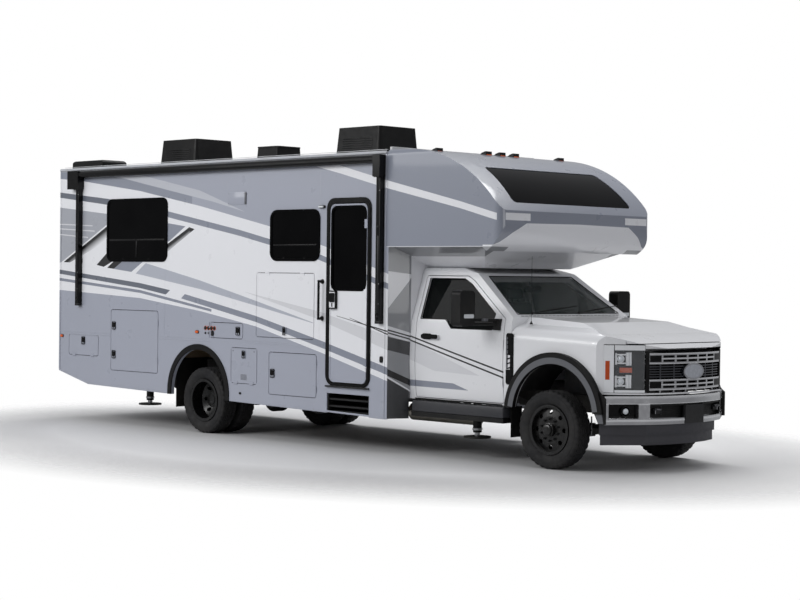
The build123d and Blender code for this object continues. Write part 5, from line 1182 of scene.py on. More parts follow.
# ------------------------------------------------------------------ entry door and awning
class EntryDoor(Dresser):
    """Outer frame, sill, latch, grab handle and step of the coach's door."""

    opening = (0.622, 1.268, 0.735, 2.790)
    latch = (0.648, 0.760, 1.589, 1.785)

    def build(self) -> None:
        """Dresses the door and its surround."""
        self.surround()
        self.leaf()
        self.grip()
        self.step()

    def surround(self) -> None:
        """The doorway's outer frame and its ribbed sill."""
        y = -BODY_HALF
        x0, x1, z0, z1 = self.opening
        frame_piece = Shape()
        frame_piece.band((x0 - 0.045, x1 + 0.040, z0 - 0.022, z1 + 0.050), 0.12, 0.030, y - 0.0003, y - 0.010)
        frame_piece.band((x0 - 0.018, x1 + 0.014, z0 - 0.018, z1 + 0.022), 0.10, 0.012, y - 0.0003,
                         y - 0.0145)
        self.add(frame_piece, "entry_frame_edge", "gloss_black")
        sill = Shape()
        sill.block((x0 - 0.030, y - 0.0003, z0 - 0.040), (x1 + 0.030, y - 0.030, z0 - 0.022), 0.003)
        for i in range(9):
            x = x0 + 0.04 + i * 0.07
            sill.block((x, y - 0.004, z0 - 0.0215), (x + 0.04, y - 0.026, z0 - 0.0195), 0.0006)
        self.add(sill, "entry_sill", "dark_satin")

    def leaf(self) -> None:
        """The door's edge and its latch with two key faces."""
        y = -BODY_HALF
        x0, x1, z0, z1 = self.opening
        leaf = Shape()
        leaf.band((x0 + 0.021, x1 - 0.021, z0 + 0.021, z1 - 0.021), 0.07, 0.016, y - 0.0083, y - 0.0125)
        self.add(leaf, "entry_leaf_edge", "coach_paint", "coach_paint", body="entry_door")
        latch = Shape()
        lx0, lx1, lz0, lz1 = self.latch
        face = y - 0.034
        latch.band((lx0 - 0.006, lx1 + 0.006, lz0 - 0.006, lz1 + 0.006), 0.018, 0.014, y - 0.0083,
                   face - 0.004)
        latch.panel((lx0 + 0.016, lx1 - 0.016, lz0 + 0.070, lz1 - 0.022), 0.012, face, face - 0.008)
        for z in (lz0 + 0.028, lz0 + 0.050):
            latch.turned([(0.011, 0.0), (0.011, 0.005), (0.007, 0.006)], (0.704, face, z), (0, -1, 0), 20)
        self.add(latch, "entry_latch", "gloss_black", body="entry_door")
        keys = Shape()
        for z in (lz0 + 0.028, lz0 + 0.050):
            keys.turned([(0.006, 0.0), (0.006, 0.001)], (0.704, face - 0.006, z), (0, -1, 0), 16)
        self.add(keys, "entry_key_faces", "bare_steel", body="entry_door")

    def grip(self) -> None:
        """The grab handle's feet and the ribs of its grip."""
        grip, y, hx = Shape(), -BODY_HALF, 0.507
        for z in (1.470, 1.891):
            grip.turned([(0.028, 0.0), (0.028, 0.006), (0.019, 0.012), (0.0165, 0.03)], (hx, y - 0.0003, z),
                        (0, -1, 0), 24)
        for i in range(14):
            z = 1.50 + i * 0.0275
            grip.turned([(0.0135, 0.0), (0.0155, 0.002), (0.0155, 0.010), (0.0135, 0.012)],
                        (hx, y - 0.062, z), (0, 0, 1), 20)
        self.add(grip, "grab_handle_grip", "trim_black")

    def step(self) -> None:
        """Treads with slots and two reflectors in the step well."""
        low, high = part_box("entry_step")
        tread = Shape()
        for z in (0.486, 0.566):
            for i in range(11):
                x = low.x + 0.05 + i * (high.x - low.x - 0.1) / 10
                tread.block((x - 0.012, low.y + 0.03, z), (x + 0.012, low.y + 0.27, z + 0.002), 0.0006)
        for z in (0.486, 0.566):
            tread.block((low.x + 0.014, low.y + 0.008, z - 0.016), (high.x - 0.014, low.y + 0.0138, z), 0.002)
        self.add(tread, "step_tread_bars", "dark_satin")
        marks = Shape()
        for x in (0.99, 1.14):
            marks.turned([(0.012, 0), (0.012, 0.004), (0.008, 0.006)], (x, low.y + 0.3201, 0.603), (0, -1, 0),
                         18)
        self.add(marks, "step_reflectors", "lamp_amber", "lamp_amber")


class Awning(Dresser):
    """Cassette, arms and end castings of the roll-out awning."""

    # each arm has its place along the vehicle and the height of its foot
    arm_places = ((-4.260, 1.540), (1.470, 1.455))
    arm_face = -BODY_HALF - 0.0625

    def build(self) -> None:
        """Makes the awning's fine parts over its CAD bars."""
        low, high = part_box("awning")
        y_out = low.y
        axis_y, z = -BODY_HALF - 0.0483, 3.252
        roll = Shape()
        roll.block((low.x + 0.05, axis_y - 0.003, z + 0.0478), (high.x - 0.05, axis_y + 0.003, z + 0.0495),
                   0.0006)
        for i in range(2):
            roll.block((low.x + 0.06, y_out + 0.0005, z - 0.012 + 0.020 * i),
                       (high.x - 0.06, y_out + 0.0035, z - 0.008 + 0.020 * i), 0.0006)
        self.add(roll, "awning_roll_ribs", "gloss_black", "gloss_black")
        ends = Shape()
        for x, _ in self.arm_places:
            ends.prism([(x - 0.052, 3.30), (x + 0.052, 3.30), (x + 0.056, 3.20), (x + 0.040, 3.05),
                        (x - 0.040, 3.05), (x - 0.056, 3.20)], "xz", -BODY_HALF - 0.060, y_out + 0.0008)
            ends.turned([(0.030, 0), (0.030, 0.004), (0.022, 0.008)], (x, y_out + 0.010, 3.252), (0, -1, 0),
                        24)
            ends.turned([(0.008, 0), (0.008, 0.004)], (x, y_out + 0.006, 3.10), (0, -1, 0), 8)
        self.add(ends, "awning_end_castings", "gloss_black", "gloss_black")
        arms = Shape()
        for x, bottom in self.arm_places:
            face = self.arm_face
            for dx in (-0.0265, 0.0265):
                arms.block((x + dx - 0.0035, face, bottom + 0.02), (x + dx + 0.0035, face - 0.004, 3.05),
                           0.001)
            arms.block((x - 0.012, face, bottom + 0.10), (x + 0.012, face - 0.003, bottom + 0.95), 0.001)
            arms.block((x - 0.040, -BODY_HALF - 0.0003, bottom - 0.02), (x + 0.040, face, bottom + 0.012),
                       0.004)
            arms.block((x - 0.046, -BODY_HALF - 0.0003, bottom + 0.55),
                       (x + 0.046, -BODY_HALF - 0.012, bottom + 0.60), 0.003)
            for z_pin in (bottom + 0.06, bottom + 1.05):
                arms.turned([(0.010, 0), (0.010, 0.005), (0.006, 0.007)], (x, face, z_pin), (0, -1, 0), 14)
        self.add(arms, "awning_arm_detail", "dark_satin", "gloss_black")
        pins = Shape()
        for x, bottom in self.arm_places:
            for z_pin in (bottom + 0.20, bottom + 0.42, bottom + 1.45):
                pins.turned([(0.005, 0), (0.005, 0.003), (0.003, 0.004)], (x + 0.018, self.arm_face, z_pin),
                            (0, -1, 0), 12)
        self.add(pins, "awning_rivets", "bare_steel", "gloss_black")


# ------------------------------------------------------------------ roof
class Roof(Dresser):
    """Louvres and lids of the shrouds, the vent and the seams on the roof."""

    units = ((-3.414, 0.0), (0.060, 0.0))
    top = 3.742

    def build(self) -> None:
        """Dresses the roof."""
        shroud = Shape()
        for cx, cy in self.units:
            for level, (grow, corner) in enumerate(((0.012, 0.08), (0.004, 0.075))):
                z = 3.392 + level * 0.020
                wide, deep = 0.400 + grow, 0.340 + grow
                shroud.prism(rounded((cx - wide, cx + wide, cy - deep, cy + deep), corner), "xy", z,
                             z + 0.020)
            for i in range(9):
                y = cy - 0.20 + i * 0.05
                shroud.block((cx - 0.389, y - 0.016, 3.46), (cx - 0.376, y + 0.016, 3.60), 0.004)
            for i in range(6):
                z = 3.455 + i * 0.028
                for sign in (-1, 1):
                    shroud.block((cx - 0.26, cy + sign * (0.329 - i * 0.0022), z),
                                 (cx + 0.26, cy + sign * (0.337 - i * 0.0022), z + 0.010), 0.003)
        self.add(shroud, "roof_shroud_louvres", "gloss_black", "gloss_black")
        lids = Shape()
        for cx, cy in self.units:
            lids.prism(rounded((cx - 0.31, cx + 0.31, cy - 0.25, cy + 0.25), 0.05), "xy", self.top - 0.0150,
                       self.top - 0.0002)
        self.add(lids, "roof_shroud_lids", "gloss_black", "gloss_black")
        vent = Shape()
        vent.prism(rounded((-1.95, -1.53, -0.205, 0.205), 0.05), "xy", 3.574, 3.590)
        vent.prism(rounded((-1.97, -1.51, -0.225, 0.225), 0.05), "xy", 3.391, 3.402)
        self.add(vent, "roof_vent_lid", "trim_black", "gloss_black")
        seams = Shape()
        for sign in (-1, 1):
            seams.block((-4.70, sign * 1.215, 3.360), (1.50, sign * 1.235, 3.364), 0.001)
        seams.block((1.500, -1.19, 3.357), (1.536, 1.19, 3.3925), 0.003)
        self.add(seams, "roof_edge_seams", "sealant", "roof_white")


class Lamps(Dresser):
    """Roof markers, side markers, porch lamp and tail lamps: one set stands for the CAD lamps."""

    def build(self) -> None:
        """Makes the lamps."""
        housings, amber, clear, red = (Shape() for _ in range(4))
        self.roof_markers(housings, amber)
        self.side_lamps(housings, amber, clear)
        self.tail_lamps(housings, amber, red)
        made = self.add(housings, "lamp_housings", "trim_black")
        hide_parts("marker_lamps")
        self.add(amber, "amber_lenses", "lamp_amber", "lamp_amber")
        self.add(clear, "porch_lens", "lamp_clear", "lamp_clear")
        self.add(red, "red_lenses", "lamp_red", "lamp_amber")

    @staticmethod
    def roof_markers(housings: Shape, amber: Shape) -> None:
        """Adds the five marker lamps over the cab."""
        for y in (-1.020, -0.230, 0.0, 0.230, 1.020):
            z0 = 3.345 if abs(y) < 1.0 else 3.338
            housings.prism([(2.000, z0 - 0.016), (2.000, z0 - 0.012), (2.040, z0 + 0.012),
                            (2.088, z0 + 0.026), (2.100, z0 + 0.026), (2.104, z0 - 0.040)],
                           "xz", y - 0.050, y + 0.050)
            amber.prism([(2.1045, z0 - 0.034), (2.1015, z0 - 0.006), (2.1085, z0 - 0.010),
                         (2.1100, z0 - 0.030)], "xz", y - 0.040, y + 0.040)

    @staticmethod
    def side_lamps(housings: Shape, amber: Shape, clear: Shape) -> None:
        """Adds the marker lamps low on the sides and the porch lamp by the door."""
        for side in Side:
            sign = side.value
            for x, z in ((-4.670, 1.108), (-1.770, 1.247)):
                y = sign * (BODY_HALF + 0.0003)
                housings.panel((x - 0.034, x + 0.034, z - 0.020, z + 0.020), 0.018, y, y + sign * 0.006)
                amber.panel((x - 0.028, x + 0.028, z - 0.015, z + 0.015), 0.014, y + sign * 0.0062,
                            y + sign * 0.0157)
            y = sign * (BODY_HALF + 0.0003)
            housings.panel((1.466, 1.514, 1.005, 1.077), 0.022, y, y + sign * 0.0157)
        y = -BODY_HALF - 0.0003
        housings.panel((0.445, 0.545, 2.728, 2.762), 0.016, y, y - 0.020)
        clear.panel((0.455, 0.535, 2.735, 2.755), 0.009, y - 0.0202, y - 0.034)

    @staticmethod
    def tail_lamps(housings: Shape, amber: Shape, red: Shape) -> None:
        """Adds the tail lamps and the row of small lamps at the top of the rear wall."""
        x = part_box("rear_wall")[0].x - 0.0003
        for sign in (-1, 1):
            housings.prism(rounded((sign * 1.095 - 0.055, sign * 1.095 + 0.055, 0.960, 1.330), 0.015), "yz",
                           x, x - 0.014)
            for z0, z1, target in ((0.972, 1.085, red), (1.095, 1.195, amber), (1.205, 1.318, red)):
                target.prism(rounded((sign * 1.095 - 0.045, sign * 1.095 + 0.045, z0, z1), 0.012), "yz",
                             x - 0.0142, x - 0.0295)
            for dy in (0.0, 0.150):
                y0 = sign * (1.100 - dy)
                red.prism(rounded((y0 - 0.040, y0 + 0.040, 3.190, 3.220), 0.012), "yz", x, x - 0.0215)
        for y0 in (-0.15, 0.0, 0.15):
            red.prism(rounded((y0 - 0.040, y0 + 0.040, 3.215, 3.245), 0.012), "yz", x, x - 0.0215)


# ------------------------------------------------------------------ cab
class CabOutside(Dresser):
    """Handles, window frames, vents, mirrors' faces, running boards, cowl, wipers and aerial."""

    def build(self) -> None:
        """Dresses the cab."""
        for side in Side:
            self.door(side)
            self.fender_vent(side)
            self.mirror(side)
            self.running_board(side)
        self.cowl()
        self.aerial()

    def door(self, side: Side) -> None:
        """A cab door's handle and the frame of its window."""
        sign, door = side.value, f"cab_door_{side.word}"
        y = sign * CAB_HALF
        handle = Shape()
        handle.panel((1.862, 2.114, 1.284, 1.332), 0.022, y + sign * 0.0242, y + sign * 0.0292)
        handle.panel((1.852, 2.000, 1.276, 1.340), 0.028, y - sign * 0.003, y + sign * 0.002)
        self.add(handle, f"cab_handle_{side.word}", "gloss_black", body=door)
        trim = Shape()
        outline = [(1.800, 1.500), (1.805, 1.945), (2.330, 1.945), (2.450, 1.888), (2.890, 1.577),
                   (2.890, 1.400), (2.270, 1.400), (2.180, 1.500)]
        self.window_frame(trim, outline, sign)
        self.add(trim, f"cab_window_frame_{side.word}", "trim_black", body=door)

    def fender_vent(self, side: Side) -> None:
        """The slotted vent behind a front wheel, with its paler bar."""
        sign = side.value
        vent = Shape()
        vy = sign * 1.005
        vent.panel((3.092, 3.196, 0.838, 1.380), 0.030, vy + sign * 0.0003, vy + sign * 0.006)
        for i in range(9):
            z = 0.90 + i * 0.050
            vent.prism([(3.112, z), (3.180, z + 0.022), (3.180, z + 0.034), (3.112, z + 0.012)], "xz",
                       vy + sign * 0.0062, vy + sign * 0.012)
        self.add(vent, f"fender_vent_{side.word}", "gloss_black")
        bright = Shape()
        bright.panel((3.098, 3.122, 1.00, 1.340), 0.010, vy + sign * 0.0062, vy + sign * 0.010)
        self.add(bright, f"fender_vent_bar_{side.word}", "flare_grey")

    def running_board(self, side: Side) -> None:
        """A running board's cover and tread, and the rocker trim over it."""
        sign = side.value
        board = Shape()
        board.block((1.778, sign * 0.900, 0.4830), (3.125, sign * 1.084, 0.600), 0.014)
        self.add(board, f"running_board_cover_{side.word}", "board_grey")
        sill = Shape()
        for i in range(24):
            x = 1.82 + i * 0.055
            sill.block((x, sign * 1.018, 0.6002), (x + 0.030, sign * 1.068, 0.6030), 0.0008)
        self.add(sill, f"running_board_tread_{side.word}", "dark_satin")
        rocker = Shape()
        rocker.block((1.760, sign * 1.0125, 0.6125), (3.050, sign * 1.0155, 0.628), 0.001)
        self.add(rocker, f"rocker_trim_{side.word}", "trim_black")

    @staticmethod
    def window_frame(shape: Shape, outline: Chain, sign: int) -> None:
        """A black bead that follows a cab window's edge on the leaning side."""
        points = [Vector((x, sign * (cab_side(z) + 0.0015), z)) for x, z in outline]
        for a, b in zip(points, points[1:] + points[:1]):
            shape.tube([a.lerp(b, i / 3) for i in range(4)], 0.0045, 8)

    def mirror(self, side: Side) -> None:
        """Mirror faces, the seam of the shell, the side lamp and the clamp on the arms."""
        sign, body = side.value, f"cab_door_{side.word}"
        x = 2.755 - 0.065
        mid = sign * (1.432 - 0.115)
        glass = Shape()
        glass.prism(rounded((mid - 0.092, mid + 0.092, 1.565, 1.795), 0.03), "yz", x - 0.0003, x - 0.0045)
        glass.prism(rounded((mid - 0.092, mid + 0.092, 1.462, 1.550), 0.025), "yz", x - 0.0003, x - 0.0045)
        self.add(glass, f"mirror_glass_{side.word}", "mirror_face", body=body)
        rim = Shape()
        y_out = sign * 1.4312
        rim.prism(rounded((2.700, 2.812, 1.53, 1.545), 0.006), "xz", y_out, y_out - sign * 0.004)
        self.add(rim, f"mirror_seam_{side.word}", "dark_satin", body=body)
        lamp = Shape()
        front = 2.755 + 0.065
        lamp.prism(rounded((mid - 0.055, mid + 0.095, 1.530, 1.572), 0.012), "yz", front + 0.0003,
                   front + 0.004)
        self.add(lamp, f"mirror_lamp_{side.word}", "lamp_clear", "lamp_clear", body=body)
        clamp = Shape()
        clamp.block((2.865, sign * 1.085, 1.500), (2.905, sign * 1.150, 1.528), 0.005)
        self.add(clamp, f"mirror_arm_clamp_{side.word}", "flare_grey", body=body)

    def cowl(self) -> None:
        """Cowl slots, wipers and the windscreen's seal."""
        made = Shape()
        for i in range(26):
            y = -0.80 + i * 0.064
            made.block((3.1200, y - 0.022, 1.556), (3.1420, y + 0.022, 1.5605), 0.001)
        self.add(made, "cowl_slots", "trim_black")
        wipers = Shape()
        for pivot, tip in ((-0.62, 0.02), (0.16, 0.74)):
            base = Vector((3.108, pivot, 1.585))
            end = Vector((3.0450, tip, 1.642))
            wipers.tube([base, base.lerp(end, 0.5) + Vector((0.0, 0, 0.006)), end], 0.006, 8)
            way = (end - base).normalized()
            heel = end - way * 0.36 + Vector((-0.002, 0, -0.004))
            wipers.tube([heel, end + way * 0.20 + Vector((-0.006, 0, -0.002))], 0.005, 6)
            wipers.turned([(0.016, -0.012), (0.016, 0.010), (0.010, 0.016)], tuple(base), (0.45, 0, 0.9), 16)
        self.add(wipers, "wipers", "trim_black")
        screen = Shape()
        (xt, yt, zt), (xb, yb, zb) = (2.548, 0.690, 1.973), (3.107, 0.850, 1.575)
        loop = [Vector((xt, -yt, zt)), Vector((xt, yt, zt)), Vector((xb, yb, zb)), Vector((xb, -yb, zb))]
        for a, b in zip(loop, loop[1:] + loop[:1]):
            screen.tube([a, b], 0.006, 8)
        self.add(screen, "windscreen_seal", "seal_rubber")

    def aerial(self) -> None:
        """The whip aerial on the right fender."""
        mast = Shape()
        mast.turned([(0.018, 0.0), (0.018, 0.006), (0.009, 0.020), (0.004, 0.035)], (3.300, -0.850, 1.475),
                    (0, 0, 1), 18)
        mast.tube([(3.300, -0.850, 1.50), (3.300, -0.850, 2.190)], 0.0022, 8)
        self.add(mast, "aerial", "trim_black")


# the leaning side's lower and upper edge, each as (height, half width)
CAB_SIDE = ((1.480, 0.985), (2.004, 0.812))


def cab_side(z: float) -> float:
    """Half width of the cab's side at a height over the belt."""
    (low_z, low_half), (high_z, high_half) = CAB_SIDE
    share = min(max((z - low_z) / (high_z - low_z), 0.0), 1.0)
    return low_half + share * (high_half - low_half)


def bow(centre_and_radius: Pair, reach: float) -> float:
    """How far forward a bow stands at one reach from the middle plane."""
    centre, radius = centre_and_radius
    return centre + math.sqrt(radius ** 2 - reach ** 2)


def nose_front(y: float) -> float:
    """How far forward the nose reaches at one place across it."""
    if abs(y) < NOSE_CORNER_Y:
        return bow(NOSE_BOW, y)
    return bow(NOSE_CORNER_BOW, abs(y) + NOSE_CORNER_SHIFT)


def bumper_front(y: float) -> float:
    """How far forward the bumper reaches at one place across it."""
    if abs(y) < BUMPER_CORNER_Y:
        return bow(BUMPER_BOW, y)
    return BUMPER_CORNER_X - (abs(y) - BUMPER_CORNER_Y) * BUMPER_SWEEP


class Nose(Dresser):
    """Grille, headlamps, bumper fittings, fog lamps and arch trims."""

    oval_z = 1.027

    def build(self) -> None:
        """Makes the front of the truck."""
        self.grille()
        for side in Side:
            self.headlamp(side)
            self.fog_lamp(side)
            self.flare(side)
        self.bumper()

    @staticmethod
    def bowed(shape: Shape, span: Pair, z0: float, z1: float, back: float, deep: float,
              front: Callable[[float], float] = nose_front, steps: int = 24) -> Shape:
        """A strip that follows the bow of the front.

        Args:
            shape: what the strip is added to.
            span: the two ends of the strip across the vehicle.
            z0, z1: its lower and upper edges.
            back: how far its face lies behind the front.
            deep: how thick it is.
            front: the bow that it follows.
            steps: how many pieces the bow is divided into.

        Returns:
            The same shape.
        """
        rings = []
        for k in range(steps + 1):
            y = span[0] + (span[1] - span[0]) * k / steps
            x = front(y) - back
            corners = ((x - deep, z0), (x, z0), (x, z1), (x - deep, z1))
            rings.append([Vector((cx, y, cz)) for cx, cz in corners])
        return shape.skin(rings)

    def grille(self) -> None:
        """Dark mesh behind the bars, the end caps and the bare oval with its bright rim."""
        mesh = Shape()
        for i in range(40):
            z = 0.836 + i * 0.0095
            self.bowed(mesh, (-0.59, 0.59), z, z + 0.004, 0.0565, 0.003, steps=16)
        for i in range(60):
            y = -0.585 + i * 0.0198
            x = nose_front(y)
            mesh.block((x - 0.0605, y - 0.0015, 0.836), (x - 0.0565, y + 0.0015, 1.212), 0.0)
        self.add(mesh, "grille_dark_mesh", "black_mesh")
        ends = Shape()
        for sign in (-1, 1):
            for z0, z1 in ((1.112, 1.212), (0.848, 0.948)):
                self.bowed(ends, (sign * 0.455, sign * 0.592), z0 + 0.016, z1 - 0.016, 0.0008, 0.003,
                           steps=10)
            self.bowed(ends, (sign * 0.598, sign * 0.6372), 0.8225, 1.2355, 0.0005, 0.010, steps=8)
        self.add(ends, "grille_end_caps", "gloss_black")
        turns = [2 * math.pi * k / 64 for k in range(64)]
        ring, face = ([(wide * math.cos(a), self.oval_z + tall * math.sin(a)) for a in turns]
                      for wide, tall in ((0.170, 0.085), (0.154, 0.069)))
        rim = Shape()
        loops = [[Vector((x, y, z)) for y, z in line]
                 for line, x in ((ring, 4.7685), (ring, 4.7735), (face, 4.7745), (face, 4.7685))]
        rim.skin(loops, closed=True)
        self.add(rim, "grille_oval_rim", "chrome_bright", "chrome_bright")
        plain = Shape()
        plain.prism(face, "yz", 4.7684, 4.7705)
        self.add(plain, "grille_oval_face", "oval_grey", "chrome_bright")

    def headlamp(self, side: Side) -> None:
        """The bright C round a lamp, its two projectors, the amber pieces and the clear cover."""
        sign = side.value
        frame_bright = Shape()
        for z0, z1 in ((1.2465, 1.298), (0.8205, 0.8465)):
            self.bowed(frame_bright, (sign * 0.646, sign * 0.952), z0, z1, 0.0025, 0.004)
        self.bowed(frame_bright, (sign * 0.887, sign * 0.972), 0.8205, 1.298, 0.0022, 0.004)
        self.add(frame_bright, f"headlamp_surround_{side.word}", "lamp_silver", "chrome_bright")
        amber = Shape()
        self.bowed(amber, (sign * 0.917, sign * 0.945), 0.950, 1.140, 0.0002, 0.005, steps=6)
        self.bowed(amber, (sign * 0.745, sign * 0.835), 1.022, 1.072, 0.016, 0.010, steps=6)
        self.add(amber, f"headlamp_amber_{side.word}", "lens_amber", "lamp_amber")
        tub = Shape()
        self.bowed(tub, (sign * 0.648, sign * 0.742), 0.850, 1.243, 0.010, 0.022)
        self.bowed(tub, (sign * 0.745, sign * 0.882), 0.850, 1.243, 0.0315, 0.002)
        for z0, z1 in ((1.234, 1.243), (0.850, 0.859), (1.080, 1.087), (1.007, 1.014)):
            self.bowed(tub, (sign * 0.745, sign * 0.882), z0, z1, 0.008, 0.023)
        for z0, z1 in ((1.2985, 1.3035), (0.8160, 0.8200)):
            self.bowed(tub, (sign * 0.646, sign * 0.976), z0, z1, 0.0018, 0.006)
        for y0, y1 in ((0.9725, 0.9775), (0.8825, 0.8865)):
            self.bowed(tub, (sign * y0, sign * y1), 0.8205, 1.298, 0.0012, 0.008, steps=2)
        self.add(tub, f"headlamp_tub_{side.word}", "gloss_black")
        cells, lens = Shape(), Shape()
        for z in (1.160, 0.933):
            for dy, height in ((0.752, 0.066), (0.772, 0.066), (0.860, 0.058)):
                self.bowed(cells, (sign * dy, sign * (dy + 0.014)), z - height, z + height, 0.012, 0.018,
                           steps=2)
            for dz in (-0.050, 0.036):
                self.bowed(cells, (sign * 0.792, sign * 0.856), z + dz, z + dz + 0.014, 0.014, 0.016, steps=4)
            x = nose_front(0.824) - 0.029
            cells.turned([(0.036, 0.001), (0.036, 0.012), (0.031, 0.015), (0.024, 0.004)],
                         (x, sign * 0.824, z), (0.72, sign * 0.69, 0), 28)
            lens.ball((x + 0.003, sign * 0.824, z), (0.020, 0.028, 0.028), 20)
        self.add(cells, f"headlamp_reflectors_{side.word}", "lamp_silver", "chrome_bright")
        self.add(lens, f"headlamp_projectors_{side.word}", "lens_clear", "chrome_bright")
        cover = Shape()
        self.bowed(cover, (sign * 0.648, sign * 0.884), 0.850, 1.244, 0.0045, 0.002)
        self.add(cover, f"headlamp_cover_{side.word}", "lens_glass", "lamp_clear")

    def fog_lamp(self, side: Side) -> None:
        """The fog lamp in the inner end of its pocket, with the pocket's dark tray."""
        sign = side.value
        tray = Shape()
        self.bowed(tray, (sign * 0.702, sign * 0.968), 0.562, 0.704, 0.058, 0.003, bumper_front)
        self.bowed(tray, (sign * 0.704, sign * 0.966), 0.564, 0.574, 0.012, 0.046, bumper_front)
        self.bowed(tray, (sign * 0.704, sign * 0.966), 0.692, 0.702, 0.012, 0.046, bumper_front)
        self.add(tray, f"fog_lamp_tray_{side.word}", "gloss_black")
        lamp, glass = Shape(), Shape()
        spot = (bumper_front(0.790) - 0.050, sign * 0.790, 0.633)
        aim = (0.85, sign * 0.53, 0)
        lamp.turned([(0.052, 0.0), (0.052, 0.030), (0.046, 0.034), (0.034, 0.012), (0.0, 0.008)], spot, aim,
                    32)
        glass.turned([(0.030, 0.024), (0.022, 0.032), (0.001, 0.035)], spot, aim, 32)
        self.add(lamp, f"fog_lamp_bowl_{side.word}", "gloss_black")
        self.add(glass, f"fog_lamp_lens_{side.word}", "lens_clear", "chrome_bright")

    def bumper(self) -> None:
        """The step pad on top, the dark tray between the hooks and the air dam's steps."""
        dark = Shape()
        self.bowed(dark, (-0.90, 0.90), 0.7852, 0.7905, 0.050, 0.025, bumper_front, 40)
        for y0, y1 in ((-0.598, -0.160), (0.160, 0.598)):
            self.bowed(dark, (y0, y1), 0.562, 0.704, 0.0595, 0.002, bumper_front)
            self.bowed(dark, (y0, y1), 0.686, 0.703, 0.010, 0.050, bumper_front)
            for i in range(5):
                self.bowed(dark, (y0 + 0.01, y1 - 0.01), 0.585 + i * 0.018, 0.590 + i * 0.018, 0.052, 0.008,
                           bumper_front)
        self.add(dark, "bumper_dark_tray", "trim_black")
        hooks = Shape()
        for sign in (-1, 1):
            x = 4.700
            hooks.tube([(x - 0.04, sign * 0.462, 0.652), (x + 0.012, sign * 0.462, 0.652),
                        (x + 0.024, sign * 0.495, 0.650), (x + 0.012, sign * 0.528, 0.652),
                        (x - 0.04, sign * 0.528, 0.652)], 0.012, 12)
        self.add(hooks, "bumper_tow_hooks", "bolt_grey")
        ribs = Shape()
        for z in (0.486, 0.398, 0.294):
            self.bowed(ribs, (-0.56, 0.56), z, z + 0.006, 0.0585 if z > 0.39 else 0.0765, 0.004, bumper_front)
        self.add(ribs, "air_dam_ribs", "dam_grey")

    def flare(self, side: Side) -> None:
        """The paler faces of a front arch trim: painted light, a lighter copy of the black trim on its lit
        outward faces.
        """
        sign = side.value
        face = Shape()
        y = sign * 1.053
        centre_x, centre_z = 3.765, 0.545

        turns = [math.radians(8 + 165 * k / 48) for k in range(49)]
        outer, inner = ([(centre_x + radius * math.cos(a), centre_z + radius * math.sin(a)) for a in turns]
                        for radius in (0.605, 0.541))
        face.prism(outer + inner[::-1], "xz", y + sign * 0.0003, y + sign * 0.004)
        face.prism([(4.312, 0.625), (4.362, 0.510), (4.425, 0.510), (4.395, 0.700), (4.370, 0.770),
                    (4.340, 0.700)],
                   "xz", sign * 1.0303, sign * 1.034)
        # painted light: the trim's faces made paler than its black
        self.add(face, f"front_flare_lit_face_{side.word}", "flare_grey")


